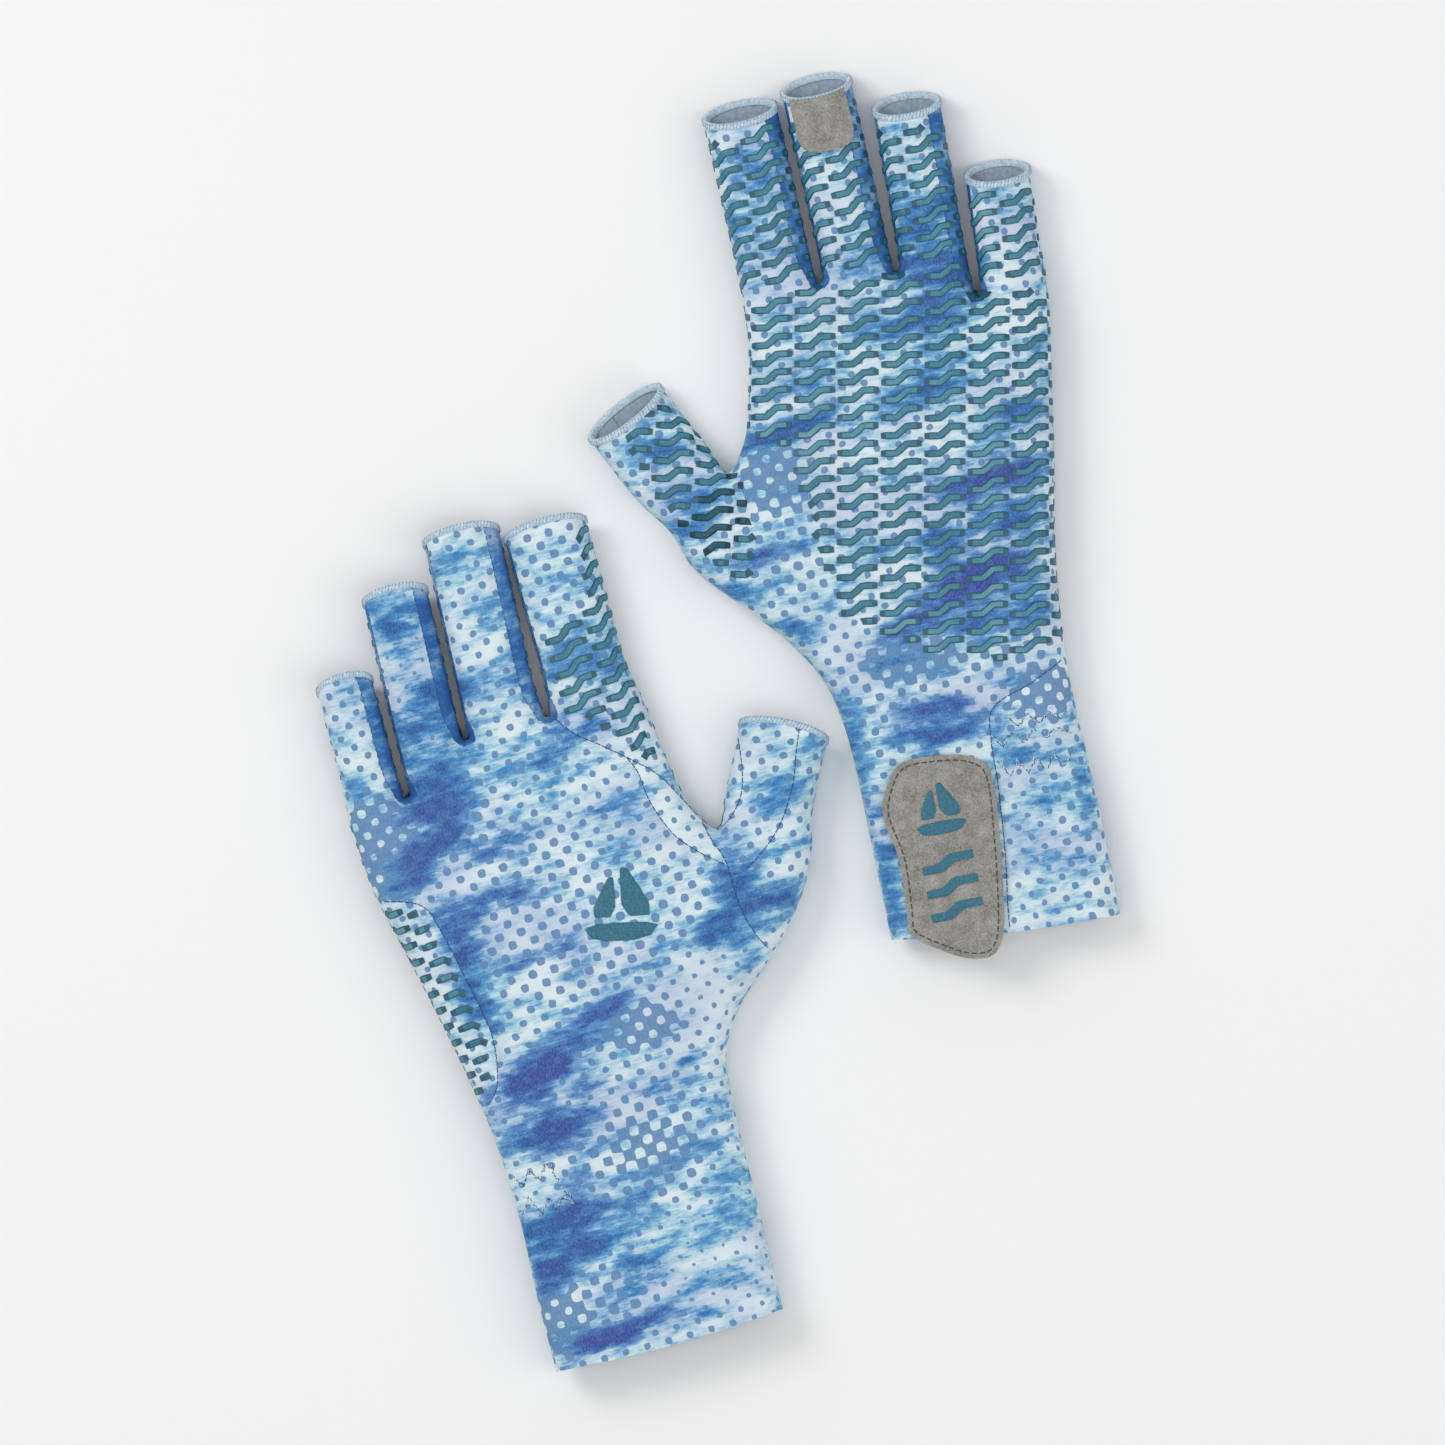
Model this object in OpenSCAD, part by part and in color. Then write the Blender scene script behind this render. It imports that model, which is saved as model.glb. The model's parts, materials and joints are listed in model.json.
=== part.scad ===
// A pair of short-finger sailing gloves, laid side by side on a table.
// Glove A lies with its back up, glove B with its palm up. Both are drawn as seen from above,
// each in its own frame: x across the hand, y from the cuff to the fingers, z up from the table.
// Units are millimetres.

/* [Fabric] */
// Thickness of the knitted fabric
fabric_t = 0.8; // [0.6:0.1:1]
// Thickness of the printed silicone grip
grip_t = 0.5; // [0.3:0.1:0.6]
// Thickness of the raised emblem and of the tab's print
print_t = 0.3; // [0.2:0.1:0.4]

/* [Fingers] */
// Thickness of a finger sleeve from back to palm
sleeve_h = 12; // [11:0.5:13]
// How much further a sleeve reaches at the back than at the palm
tip_slant = 6; // [3:0.5:8]
// Width of the overlocked edging round each opening
edging_w = 2.2; // [1.5:0.1:3]
// Length of the grey patch at the middle fingertip
patch_l = 15; // [10:1:16]

/* [Pull tab] */
// Thickness of the grey tab
tab_t = 1.2; // [1:0.1:1.3]
// Length of one stitch on the tab
stitch_l = 1.8; // [1.2:0.2:2.4]

/* [Wrist] */
// Width of the elastic inside the wrist
elastic_w = 15; // [10:1:18]

/* [Layout] */
// How far glove B lies to the right of glove A
pair_x = 113.6; // [112:0.5:130]
// How far glove B lies beyond glove A
pair_y = 86.3; // [84:0.5:92]
// How far each glove is turned from straight
turn = 2.25; // [1:0.25:3]

/* [Hidden] */
// Each list holds glove A's values and then glove B's. Edges run from the cuff to the fingers.
A = 0;
B = 1;
SIDE = [1, -1];           // which way the thumb points along x
ULNAR = [
    [[-31.5, 0], [-31, 25], [-30, 46], [-31.5, 72], [-37, 104], [-43.5, 134], [-46, 150], [-45.5, 158]],
    [[31.5, -1], [31.5, 25], [30.8, 46], [30.3, 68], [32.3, 96], [37.2, 122], [41, 146], [44.3, 168]]];
THENAR = [
    [[32, 0], [33, 30], [34.2, 58], [37.5, 76], [50, 88], [61, 99], [69, 109.5], [72.5, 117]],
    [[-30.5, 4], [-30.8, 30], [-31.5, 58], [-35, 76], [-44.5, 91], [-56, 103.5], [-66, 115], [-71, 121.5]]];
WEB = [
    [[49.5, 129.5], [44.2, 137], [42, 147], [40.3, 160], [39.5, 169]],
    [[-50.5, 138.5], [-43, 145], [-40, 157], [-37.4, 170], [-36.8, 180]]];
CROTCH = [
    [[13, 171], [-10, 171], [-29, 160]],
    [[-15.5, 182], [6, 181], [24.5, 170.5]]];
// A finger is [root centre x, root centre y, lean in degrees to the right, length, width].
INDEX = 0;
MIDDLE = 1;
RING = 2;
LITTLE = 3;
THUMB = 4;
FINGERS = [
    [[26.3, 170, 0, 49.5, 22.5], [1.5, 171, 2.7, 53, 20.5], [-19.5, 165.5, 2.4, 47.5, 17.5],
        [-37.4, 159, 0.5, 34.5, 15], [60.5, 124, 27, 29, 24]],
    [[-26.5, 181.5, -1.8, 49, 20], [-4.8, 181.5, -1.9, 52, 19], [15.4, 176, 1.2, 48, 18.2],
        [35.3, 171, 3.4, 30.5, 17.4], [-60.5, 131, -27, 29, 24]]];
// Height over the table of the outer faces, along y.
TOP = [
    [[-8, 14.5], [45, 14.2], [75, 16.5], [110, 18.5], [140, 18], [174, 14]],
    [[-8, 13], [54, 13], [80, 16], [115, 18.5], [150, 17.5], [184, 14]]];
BOTTOM = [
    [[-8, 2.4], [54, 2.4], [74, 1.2], [90, 0.5], [174, 0.5]],
    [[-8, 0], [40, 0.6], [110, 0.9], [150, 0.4], [184, 0]]];
EDGE_SIDES = 48;          // facets round a sleeve's edge
SLEEVE_Z = [0.5, 0];      // underside of the finger sleeves
TAB = [
    [[26, 41], [20, 51.5], [2, 50], [-5.5, 45], [-3, 20], [0, 6], [4, 1], [12, 1], [25, 5], [25, 12],
        [24, 25], [26.5, 36]],
    [[-26, 41], [-20, 51.5], [-2, 50], [5.5, 45], [3, 20], [0, 0], [-4, -6], [-12, -5], [-26, 4], [-25, 10],
        [-24, 25], [-26.5, 36]]];
ELASTIC_X = [-29, 0, -14]; // where it starts, and where it ends in the palm and in the back
ELASTIC_Y = 48;
ELASTIC_T = 0.6;
TAB_BARS = [8, 14.5, 21];
TAB_BAR = [14, 2];        // length and width of a bar
TAB_EMBLEM_Y = 37;
TAB_EMBLEM_SIZE = 0.7;    // to that on the back of the hand
TAB_X = 11.5;             // middle of the tab
TAB_Y = 24;
TAB_GAP = 0.4;            // from the cuff to the tab
STITCH_INSET = 0.88;      // size of the line of stitches to that of the tab
STITCH_W = 0.5;
STITCH_PITCH = 1.6;       // from stitch to stitch, in lengths of a stitch
BACK_EMBLEM = [[18.5, 118], [-18.5, 124]];

PREFIX = ["a_", "b_"];

HINGE_AHEAD = 5;          // from a finger's root line to its hinge
PALM_GAP = 7;             // from the hinge back to the hand's palm, so the sleeve can fold to it
BACK_GAP = 3.5;           // from the hinge back to the hand's back
SIDE_GAP = 0.6;           // from a sleeve's side to the hand
BACK_START = 2;           // from the hinge on to the sleeve's back
SIDE_START = 4;           // to its sides
PALM_START = 6.5;         // to its palm
STRIP_ANGLE = 50;         // where the back and palm strips end on the sleeve's round edge
PATCH_GAP = 0.8;          // from the patch to the edging
EDGING_T = 1.2;           // thickness of the edging, most of it inside the sleeve
HIGH = 60;                // taller and wider than any finger
SEGMENTS = 4;             // points between two knots of an edge
BACK_BLUE = "lightskyblue";
PALM_BLUE = "steelblue";
SIDE_BLUE = "cornflowerblue";
GREY = "darkgray";
TEAL = "teal";

function clamp_at(p, i) = p[max(0, min(len(p) - 1, i))];
function spline(a, b, c, d, t) =
    0.5 * (2 * b + (c - a) * t + (2 * a - 5 * b + 4 * c - d) * t * t + (3 * b - a - 3 * c + d) * t * t * t);
// A smooth line through the points p.
function smooth(p) = concat(
    [for (i = [0 : len(p) - 2]) for (k = [0 : SEGMENTS - 1])
        spline(clamp_at(p, i - 1), p[i], p[i + 1], clamp_at(p, i + 2), k / SEGMENTS)],
    [p[len(p) - 1]]);
function reversed(p) = [for (i = [len(p) - 1 : -1 : 0]) p[i]];
function moved(p, v) = [for (q = p) q + v];
function turned(v, lean) = [v[0] * cos(lean) + v[1] * sin(lean), v[1] * cos(lean) - v[0] * sin(lean)];

// ---- The hand's outline and heights ----

function hand_outline(g) = concat(
    reversed(smooth(ULNAR[g])), smooth(THENAR[g]), smooth(WEB[g]), CROTCH[g]);

// A flat shape standing the full height, to cut a bent sheet out of.
module column(points) {
    translate([0, 0, -HIGH / 2]) linear_extrude(HIGH) polygon(points);
}

// Everything between two height lines, a and b, each a list of [y, z].
module between_lines(a, b) {
    rotate([90, 0, 90]) translate([0, 0, -2 * HIGH]) linear_extrude(4 * HIGH) polygon(concat(a, reversed(b)));
}

// A sheet whose lower side follows a height line, t thick.
module sheet(line, t) {
    between_lines(line, moved(line, [0, t]));
}

function top_line(g) = smooth(TOP[g]);
function bottom_line(g) = smooth(BOTTOM[g]);

// Room for each finger sleeve to turn, from a gap behind its hinge on.
module finger_room(g, gap) {
    for (f = FINGERS[g])
        translate([f[0], f[1], 0]) rotate([0, 0, -f[2]])
            translate([-f[4] / 2 - SIDE_GAP, HINGE_AHEAD - gap, -HIGH / 2])
                cube([f[4] + 2 * SIDE_GAP, HIGH, HIGH]);
}

// The upper or the lower face of the hand, up to a gap before each finger's hinge.
module hand_face(g, upper, gap) {
    difference() {
        intersection() {
            column(hand_outline(g));
            sheet(upper ? moved(top_line(g), [0, -fabric_t]) : bottom_line(g), fabric_t);
        }
        finger_room(g, gap);
    }
}

// A side wall between the two sheets, following an edge, on the inside of it.
module wall(g, edge, inwards) {
    difference() {
        intersection() {
            column(concat(edge, reversed(moved(edge, [inwards * fabric_t, 0]))));
            between_lines(moved(bottom_line(g), [0, fabric_t]), moved(top_line(g), [0, -fabric_t]));
        }
        finger_room(g, PALM_GAP);
    }
}

module back_panel(g) {
    color(BACK_BLUE) hand_face(g, g == A, BACK_GAP);
}

module palm_panel(g) {
    color(PALM_BLUE) hand_face(g, g == B, PALM_GAP);
}

module ulnar_side(g) {
    color(SIDE_BLUE) wall(g, smooth(ULNAR[g]), SIDE[g]);
}

// The wall from the cuff over the ball of the thumb, and the one between the thumb and the index finger.
module thumb_side(g) {
    color(SIDE_BLUE) {
        wall(g, smooth(THENAR[g]), -SIDE[g]);
        wall(g, smooth(WEB[g]), -SIDE[g]);
    }
}

// Elastic sewn inside the wrist: a flat run under the palm, and a short one under the back.
module wrist_elastic(g) {
    under_top = moved(top_line(g), [0, -fabric_t - ELASTIC_T]);
    over_bottom = moved(bottom_line(g), [0, fabric_t]);
    color("white") {
        elastic_run(g, ELASTIC_X[1], g == A ? over_bottom : under_top);
        elastic_run(g, ELASTIC_X[2], g == A ? under_top : over_bottom);
    }
}

// One run of the elastic, from the ulnar side to stop.
module elastic_run(g, stop, line) {
    mid = SIDE[g] * (ELASTIC_X[0] + stop) / 2;
    intersection() {
        translate([mid, ELASTIC_Y, 0]) cube([stop - ELASTIC_X[0], elastic_w, HIGH], center = true);
        sheet(line, ELASTIC_T);
    }
}

// The area of the palm that carries the silicone bars.
GRIP = [[-30, 78], [-34, 100], [-40, 130], [-42, 150], [-33, 153], [-24, 158], [-6, 163], [12, 164],
    [34, 158], [34, 140], [29, 120], [26, 96], [12, 84], [-10, 76]];
GRIP_Y = [0, 6];
function grip_outline(g) = [for (p = GRIP) [SIDE[g] * p[0], p[1] + GRIP_Y[g]]];

module palm_grip(g) {
    color(TEAL) intersection() {
        column(grip_outline(g));
        sheet(g == A ? moved(bottom_line(g), [0, -grip_t]) : top_line(g), grip_t);
    }
}

// A small yacht: two sails over a hull, 22 wide.
module yacht() {
    polygon([[1, -4], [1, 12], [10, -4]]);
    polygon([[-1, -4], [-1, 9], [-8, -4]]);
    polygon([[-10, -6], [11, -6], [7, -10.5], [-7, -10.5]]);
}

module back_emblem(g) {
    color(TEAL) intersection() {
        translate([BACK_EMBLEM[g][0], BACK_EMBLEM[g][1], -HIGH / 2])
            linear_extrude(HIGH) mirror([g, 0, 0]) yacht();
        sheet(g == A ? top_line(g) : moved(bottom_line(g), [0, -print_t]), print_t);
    }
}

// ---- The pull tab ----

// The tab lies on the palm side of the cuff, and turns about its sewn top edge.
function tab_z(g) = g == A ? BOTTOM[g][1][1] - TAB_GAP - tab_t : TOP[g][1][1] + TAB_GAP;
function tab_face_z(g) = g == A ? tab_z(g) - print_t : tab_z(g) + tab_t;

module pull_tab(g) {
    color(GREY) translate([0, 0, tab_z(g)]) linear_extrude(tab_t) polygon(TAB[g]);
}

// Thread dashes a little inside the tab's edge, one run along each side of its outline.
module tab_stitching(g) {
    outline = TAB[g];
    middle = [SIDE[g] * TAB_X, TAB_Y];
    inner = [for (p = outline) middle + STITCH_INSET * (p - middle)];
    color("dimgray") translate([0, 0, tab_face_z(g)]) for (i = [0 : len(inner) - 1]) {
        from = inner[i];
        way = inner[(i + 1) % len(inner)] - from;
        count = floor(norm(way) / (stitch_l * STITCH_PITCH));
        for (k = [0 : count - 1])
            translate(from + way * (k + 0.5) / count) rotate([0, 0, atan2(way[1], way[0])])
                translate([-stitch_l / 2, -STITCH_W / 2, 0]) cube([stitch_l, STITCH_W, print_t]);
    }
}

// One stepped bar of length l and width w, like a short wave.
module bar(l, w) {
    polygon([[-l / 2, 0], [-l / 8, 0], [l / 8, w], [l / 2, w], [l / 2, 2 * w], [l / 16, 2 * w],
        [-l / 6, w], [-l / 2, w]]);
}

module tab_print(g) {
    color(TEAL) translate([SIDE[g] * TAB_X, 0, tab_face_z(g)]) linear_extrude(print_t) {
        for (y = TAB_BARS) translate([0, y]) bar(TAB_BAR[0], TAB_BAR[1]);
        translate([0, TAB_EMBLEM_Y]) scale(TAB_EMBLEM_SIZE) mirror([1 - g, 0, 0]) yacht();
    }
}

// ---- The finger sleeves ----

// A sleeve's cross-section: flat above and below, with round edges.
module sleeve_section(w, h) {
    r = h / 2;
    square([w - h, h], center = true);
    for (s = [-1, 1]) translate([s * (w / 2 - r), 0]) circle(r, $fn = EDGE_SIDES);
}

module sleeve_ring(w, t) {
    difference() {
        sleeve_section(w, sleeve_h);
        sleeve_section(w - 2 * t, sleeve_h - 2 * t);
    }
}

// Where the upper strip of a ring lies: over its flat and a little way round each edge.
module upper_wedge(w) {
    reach = sleeve_h * cos(STRIP_ANGLE) / sin(STRIP_ANGLE);
    flat = (w - sleeve_h) / 2;
    polygon([[-flat, 0], [flat, 0], [flat + reach, sleeve_h], [-flat - reach, sleeve_h]]);
}

module ring_above(w) {
    intersection() {
        sleeve_ring(w, fabric_t);
        upper_wedge(w);
    }
}

module ring_beside(w) {
    difference() {
        sleeve_ring(w, fabric_t);
        for (m = [0, 1]) mirror([0, m]) upper_wedge(w);
    }
}

// Lifts a shape drawn across the finger to run along it, from start to stop past the hinge.
module run(start, stop) {
    translate([0, start, 0]) rotate([90, 0, 0]) mirror([0, 0, 1]) linear_extrude(stop - start) children();
}

// Everything on the hand's side of a fingertip's slanting end, moved back by short.
module before_end(g, f, short) {
    translate([0, f[3] - HINGE_AHEAD - short, 0]) rotate([-SIDE[g] * atan2(tip_slant, sleeve_h), 0, 0])
        translate([-HIGH / 2, -2 * HIGH, -HIGH / 2]) cube([HIGH, 2 * HIGH, HIGH]);
}

// Puts a finger's solids, drawn from its hinge, in their place on the glove.
module at_hinge(g, f) {
    hinge = [f[0], f[1]] + turned([0, HINGE_AHEAD], f[2]);
    translate([hinge[0], hinge[1], SLEEVE_Z[g] + sleeve_h / 2]) rotate([0, 0, -f[2]]) children();
}

// A length of sleeve, from start past the hinge to its edging.
module sleeve_part(g, f, start) {
    at_hinge(g, f) intersection() {
        run(start, f[3] + tip_slant) children();
        before_end(g, f, edging_w);
    }
}

module sleeve_back(g, i) {
    f = FINGERS[g][i];
    color(BACK_BLUE) sleeve_part(g, f, BACK_START) mirror([0, g]) ring_above(f[4]);
}

module sleeve_palm(g, i) {
    f = FINGERS[g][i];
    color(PALM_BLUE) sleeve_part(g, f, PALM_START) mirror([0, 1 - g]) ring_above(f[4]);
}

module sleeve_sides(g, i) {
    f = FINGERS[g][i];
    color(SIDE_BLUE) sleeve_part(g, f, SIDE_START) ring_beside(f[4]);
}

// The overlocked edging carries on from the sleeve's end.
module sleeve_edging(g, i) {
    f = FINGERS[g][i];
    color("aliceblue") at_hinge(g, f) difference() {
        intersection() {
            run(SIDE_START, f[3] + tip_slant) sleeve_ring(f[4], EDGING_T);
            before_end(g, f, 0);
        }
        before_end(g, f, edging_w);
    }
}

// The thumb has two pieces: its back one also takes in its sides.
module thumb_back(g) {
    sleeve_back(g, THUMB);
    sleeve_sides(g, THUMB);
}

// The grey patch lies on the palm side of the middle finger, up to its edging.
module middle_patch(g) {
    f = FINGERS[g][MIDDLE];
    stop = f[3] - HINGE_AHEAD - edging_w - tip_slant / 2 - PATCH_GAP;
    z = g == A ? -sleeve_h / 2 - grip_t : sleeve_h / 2;
    flat = f[4] - sleeve_h;
    color(GREY) at_hinge(g, f) translate([-flat / 2, stop - patch_l, z]) cube([flat, patch_l, grip_t]);
}

// ---- Layout ----

function placed(g, p) = g == A ? turned(p, -turn) : [pair_x, pair_y] + turned(p, turn);
function tip_corner(f, side) =
    [f[0], f[1]] + turned([side * (f[4] - sleeve_h) / 2, f[3] + tip_slant / 2], f[2]);
function side_corner(f, side) = [f[0], f[1]] + turned([side * f[4] / 2, f[3]], f[2]);
// Every point that can be the pair's outermost one, seen from above.
OUTER = [for (g = [A, B]) for (p = concat(hand_outline(g), TAB[g],
    [for (f = FINGERS[g]) for (s = [-1, 1]) tip_corner(f, s)],
    [for (f = FINGERS[g]) for (s = [-1, 1]) side_corner(f, s)])) placed(g, p)];
function middle(i) = (min([for (p = OUTER) p[i]]) + max([for (p = OUTER) p[i]])) / 2;

// The pair's origin is on the table, under the middle of its box.
translate([-middle(0), -middle(1), 0]) for (g = [A, B]) {
    p = PREFIX[g];
    start = placed(g, [0, 0]);
    translate([start[0], start[1], 0]) rotate([0, 0, SIDE[g] * turn]) {
        back_panel(g);
        palm_panel(g);
        ulnar_side(g);
        thumb_side(g);
        wrist_elastic(g);
        palm_grip(g);
        back_emblem(g);
        pull_tab(g);
        tab_stitching(g);
        tab_print(g);
        sleeve_back(g, INDEX);
        sleeve_palm(g, INDEX);
        sleeve_sides(g, INDEX);
        sleeve_edging(g, INDEX);
        sleeve_back(g, MIDDLE);
        sleeve_palm(g, MIDDLE);
        sleeve_sides(g, MIDDLE);
        sleeve_edging(g, MIDDLE);
        middle_patch(g);
        sleeve_back(g, RING);
        sleeve_palm(g, RING);
        sleeve_sides(g, RING);
        sleeve_edging(g, RING);
        sleeve_back(g, LITTLE);
        sleeve_palm(g, LITTLE);
        sleeve_sides(g, LITTLE);
        sleeve_edging(g, LITTLE);
        thumb_back(g);
        sleeve_palm(g, THUMB);
        sleeve_edging(g, THUMB);
    }
}
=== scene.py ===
# %% [markdown]
# # A pair of sailing gloves
# Two thin knitted gloves with open fingertips lie on a table, one back up and one palm up.
# Each is cut from a few flat panels of printed cloth and sewn together, so it is built here the
# same way. A flat pattern is drawn, filled with small triangles, cut along its seams, and then
# lifted into a soft, half-filled shape. The frame of joints and plain solids is loaded first, and
# every size and place is read from it.

# %% Start with an empty scene and load the frame
import json
import math

import bpy
import numpy as np
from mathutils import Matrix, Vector
from mathutils.bvhtree import BVHTree
from mathutils.geometry import barycentric_transform, delaunay_2d_cdt

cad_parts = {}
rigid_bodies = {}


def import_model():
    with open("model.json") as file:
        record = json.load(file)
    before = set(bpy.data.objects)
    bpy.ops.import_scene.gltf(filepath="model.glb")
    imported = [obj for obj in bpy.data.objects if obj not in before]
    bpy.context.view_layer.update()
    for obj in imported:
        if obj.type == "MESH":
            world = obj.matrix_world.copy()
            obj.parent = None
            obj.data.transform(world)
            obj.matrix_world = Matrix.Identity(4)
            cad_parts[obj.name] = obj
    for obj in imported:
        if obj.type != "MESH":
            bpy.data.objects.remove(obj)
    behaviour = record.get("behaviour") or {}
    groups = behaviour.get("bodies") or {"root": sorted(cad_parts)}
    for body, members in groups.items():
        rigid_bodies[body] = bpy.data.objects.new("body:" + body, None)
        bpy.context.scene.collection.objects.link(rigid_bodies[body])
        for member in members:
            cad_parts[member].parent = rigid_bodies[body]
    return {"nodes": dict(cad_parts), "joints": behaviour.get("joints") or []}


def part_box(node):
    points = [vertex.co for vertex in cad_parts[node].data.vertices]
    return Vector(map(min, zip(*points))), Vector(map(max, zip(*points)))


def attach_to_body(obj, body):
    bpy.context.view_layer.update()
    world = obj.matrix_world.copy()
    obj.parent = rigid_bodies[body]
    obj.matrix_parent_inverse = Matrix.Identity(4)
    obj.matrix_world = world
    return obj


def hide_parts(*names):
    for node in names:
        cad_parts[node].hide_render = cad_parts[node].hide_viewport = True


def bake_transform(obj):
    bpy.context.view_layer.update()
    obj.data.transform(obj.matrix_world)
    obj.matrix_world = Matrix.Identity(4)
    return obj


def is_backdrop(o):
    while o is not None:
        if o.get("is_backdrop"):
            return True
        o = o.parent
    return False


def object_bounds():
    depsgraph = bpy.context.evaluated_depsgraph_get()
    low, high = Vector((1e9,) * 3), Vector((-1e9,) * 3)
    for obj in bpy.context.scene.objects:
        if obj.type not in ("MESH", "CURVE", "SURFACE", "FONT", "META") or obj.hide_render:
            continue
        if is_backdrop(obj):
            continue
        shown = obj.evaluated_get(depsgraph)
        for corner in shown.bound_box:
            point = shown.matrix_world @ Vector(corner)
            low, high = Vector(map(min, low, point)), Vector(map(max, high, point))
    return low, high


for old in list(bpy.data.objects):
    bpy.data.objects.remove(old)
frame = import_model()
cad_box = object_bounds()
JOINTS = {j["name"]: j for j in frame["joints"]}
MM = 0.001
print("frame box in mm:", [round(c / MM, 1) for c in (*cad_box[0], *cad_box[1])])

# %% [markdown]
# ## The camera
# The pair is seen from straight above, and turned a little, so a flat camera with no perspective
# is the simplest that fits. It is placed over the middle of the frame's box.

# %% Camera
VIEW_TURN = math.radians(-13.25)
VIEW_WIDTH = 0.39015
VIEW_SHIFT = (-5.2 * MM, -1.7 * MM)
VIEW_HEIGHT = 1.0
camera = bpy.data.objects.new("camera", bpy.data.cameras.new("camera"))
bpy.context.scene.collection.objects.link(camera)
camera.data.type = "ORTHO"
camera.data.ortho_scale = VIEW_WIDTH
box_middle = (cad_box[0] + cad_box[1]) / 2
camera.location = (box_middle.x + VIEW_SHIFT[0], box_middle.y + VIEW_SHIFT[1], VIEW_HEIGHT)
camera.rotation_euler = (0, 0, VIEW_TURN)
bpy.context.scene.camera = camera
print("camera over", [round(c / MM, 1) for c in camera.location])

# %% [markdown]
# ## A glove's own frame
# Each glove lies a little turned, so its pattern is drawn in its own frame, in millimetres, with
# x across the hand and y towards the fingers. The frame comes from the pull tab's hinge, whose
# axis runs straight across the cuff.

# %% One glove's frame
FINGERS = ["index", "middle", "ring", "little", "thumb"]
TAB_HINGE = (11.5, 51.8)
FACE_GAP = 3.0
LIP_BOW = 1.25


def vec(*c):
    return np.array(c, float)


class Glove:
    """One glove. side is +1 where the thumb points to +x, and back_up tells which face is on top."""

    def __init__(self, name, side, back_up):
        self.name, self.side, self.back_up = name, side, back_up
        hinge = JOINTS[f"tab_{name}_lift"]
        across = vec(*hinge["axis"][:2]) * side
        self.axes = np.array([across, [-across[1], across[0]]])
        self.origin = vec(*hinge["pos_m"][:2]) / MM - vec(side * TAB_HINGE[0], TAB_HINGE[1]) @ self.axes
        self.fingers = [Finger(self, f) for f in FINGERS]
        self.finger = {f.name: f for f in self.fingers}

    def local(self, points):
        """Points in metres in the frame become millimetres in the glove's own frame."""
        p = np.atleast_2d(np.array(points, float)) / MM
        flat = (p[:, :2] - self.origin) @ self.axes.T
        return np.hstack([flat, p[:, 2:]])

    def world(self, points):
        """The way back, from the glove's own millimetres to metres."""
        p = np.atleast_2d(np.array(points, float))
        flat = p[:, :2] @ self.axes + self.origin
        return np.hstack([flat, p[:, 2:]]) * MM

    def node(self, name):
        return frame["nodes"][f"{self.name}_{name}"]

    def node_points(self, name):
        return self.local([v.co for v in self.node(name).data.vertices])


class Finger:
    """A finger sleeve: its hinge, its direction, its half width and how far its open end reaches."""

    def __init__(self, glove, name):
        hinge = JOINTS[f"{name}_{glove.name}_bend"]
        self.name = name
        self.body = f"{name}_{glove.name}"
        axis = vec(*hinge["axis"][:2]) @ glove.axes.T
        self.along = vec(-axis[1], axis[0]) * (1 if axis[0] > 0 else -1)
        self.across = vec(self.along[1], -self.along[0])
        centre = glove.local([hinge["pos_m"]])[0]
        self.hinge, self.z = centre[:2], centre[2]
        rim = glove.node_points(f"{name}_edging")
        reach = (rim[:, :2] - self.hinge) @ self.along
        self.half = np.abs((rim[:, :2] - self.hinge) @ self.across).max()
        self.top_end = reach[rim[:, 2] > self.z + FACE_GAP].max()
        self.low_end = reach[rim[:, 2] < self.z - FACE_GAP].max()
        self.end = (self.top_end + self.low_end) / 2
        self.lean = math.atan2(-self.along[0], self.along[1])

    def at(self, across, along):
        """A point so far across and along from the hinge, across counted in half widths."""
        return self.hinge + across * self.half * self.across + along * self.along

    def lip_end(self, upper):
        """How far one face's open end reaches."""
        return self.top_end if upper else self.low_end

    def arch(self, upper, turns):
        """Points on one face's open end, which is an arch across the finger."""
        rise = (self.lip_end(upper) - self.end) * LIP_BOW
        return np.array([self.at(math.sin(a), self.end + rise * math.cos(a)) for a in turns])


GLOVES = [Glove("a", 1, True), Glove("b", -1, False)]
for glove in GLOVES:
    print(glove.name, "origin", glove.origin.round(1), [(f.name, round(2 * f.half, 1), round(f.end, 1))
                                                         for f in glove.fingers])

# %% [markdown]
# ## The outline
# Seen from above a glove's outline is a few smooth lines that run between its openings: one from
# the cuff up the little finger, one in each gap between two fingers, one from the index finger
# through the web to the thumb, and one down the ball of the thumb to the cuff. The hand's stretch
# of each line is sliced out of the frame's back panel, and the finger's stretch comes from its
# sleeve. A spline then joins them.

# %% Lines of the outline
STEP = 1.6
BEYOND = 5.0
FINE = 24
MID_SHARE = 0.55
NEAR_ROOT = 8
CROTCH_WIDE = 2.5
CROTCH_ROUND = 1.0
TINY = 1e-9


def spline(points, step=STEP):
    """A smooth line through the points, in even steps."""
    p = np.array(points, float)
    q = np.vstack([2 * p[0] - p[1], p, 2 * p[-1] - p[-2]])
    fine = []
    for i in range(1, len(q) - 2):
        a, b, c, d = q[i - 1: i + 3]
        for t in np.linspace(0, 1, FINE, endpoint=False):
            fine.append(0.5 * (2 * b + (c - a) * t + (2 * a - 5 * b + 4 * c - d) * t * t
                               + (3 * b - a - 3 * c + d) * t ** 3))
    fine.append(p[-1])
    return even(np.array(fine), step)


def lengths(line):
    """How far along the line each of its points is."""
    return np.r_[0, np.cumsum(np.linalg.norm(np.diff(line, axis=0), axis=1))]


def read_at(places, at, rows):
    """Reads the rows, which stand at the lengths at, at other places."""
    return np.column_stack([np.interp(places, at, rows[:, k]) for k in range(rows.shape[1])])


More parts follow.
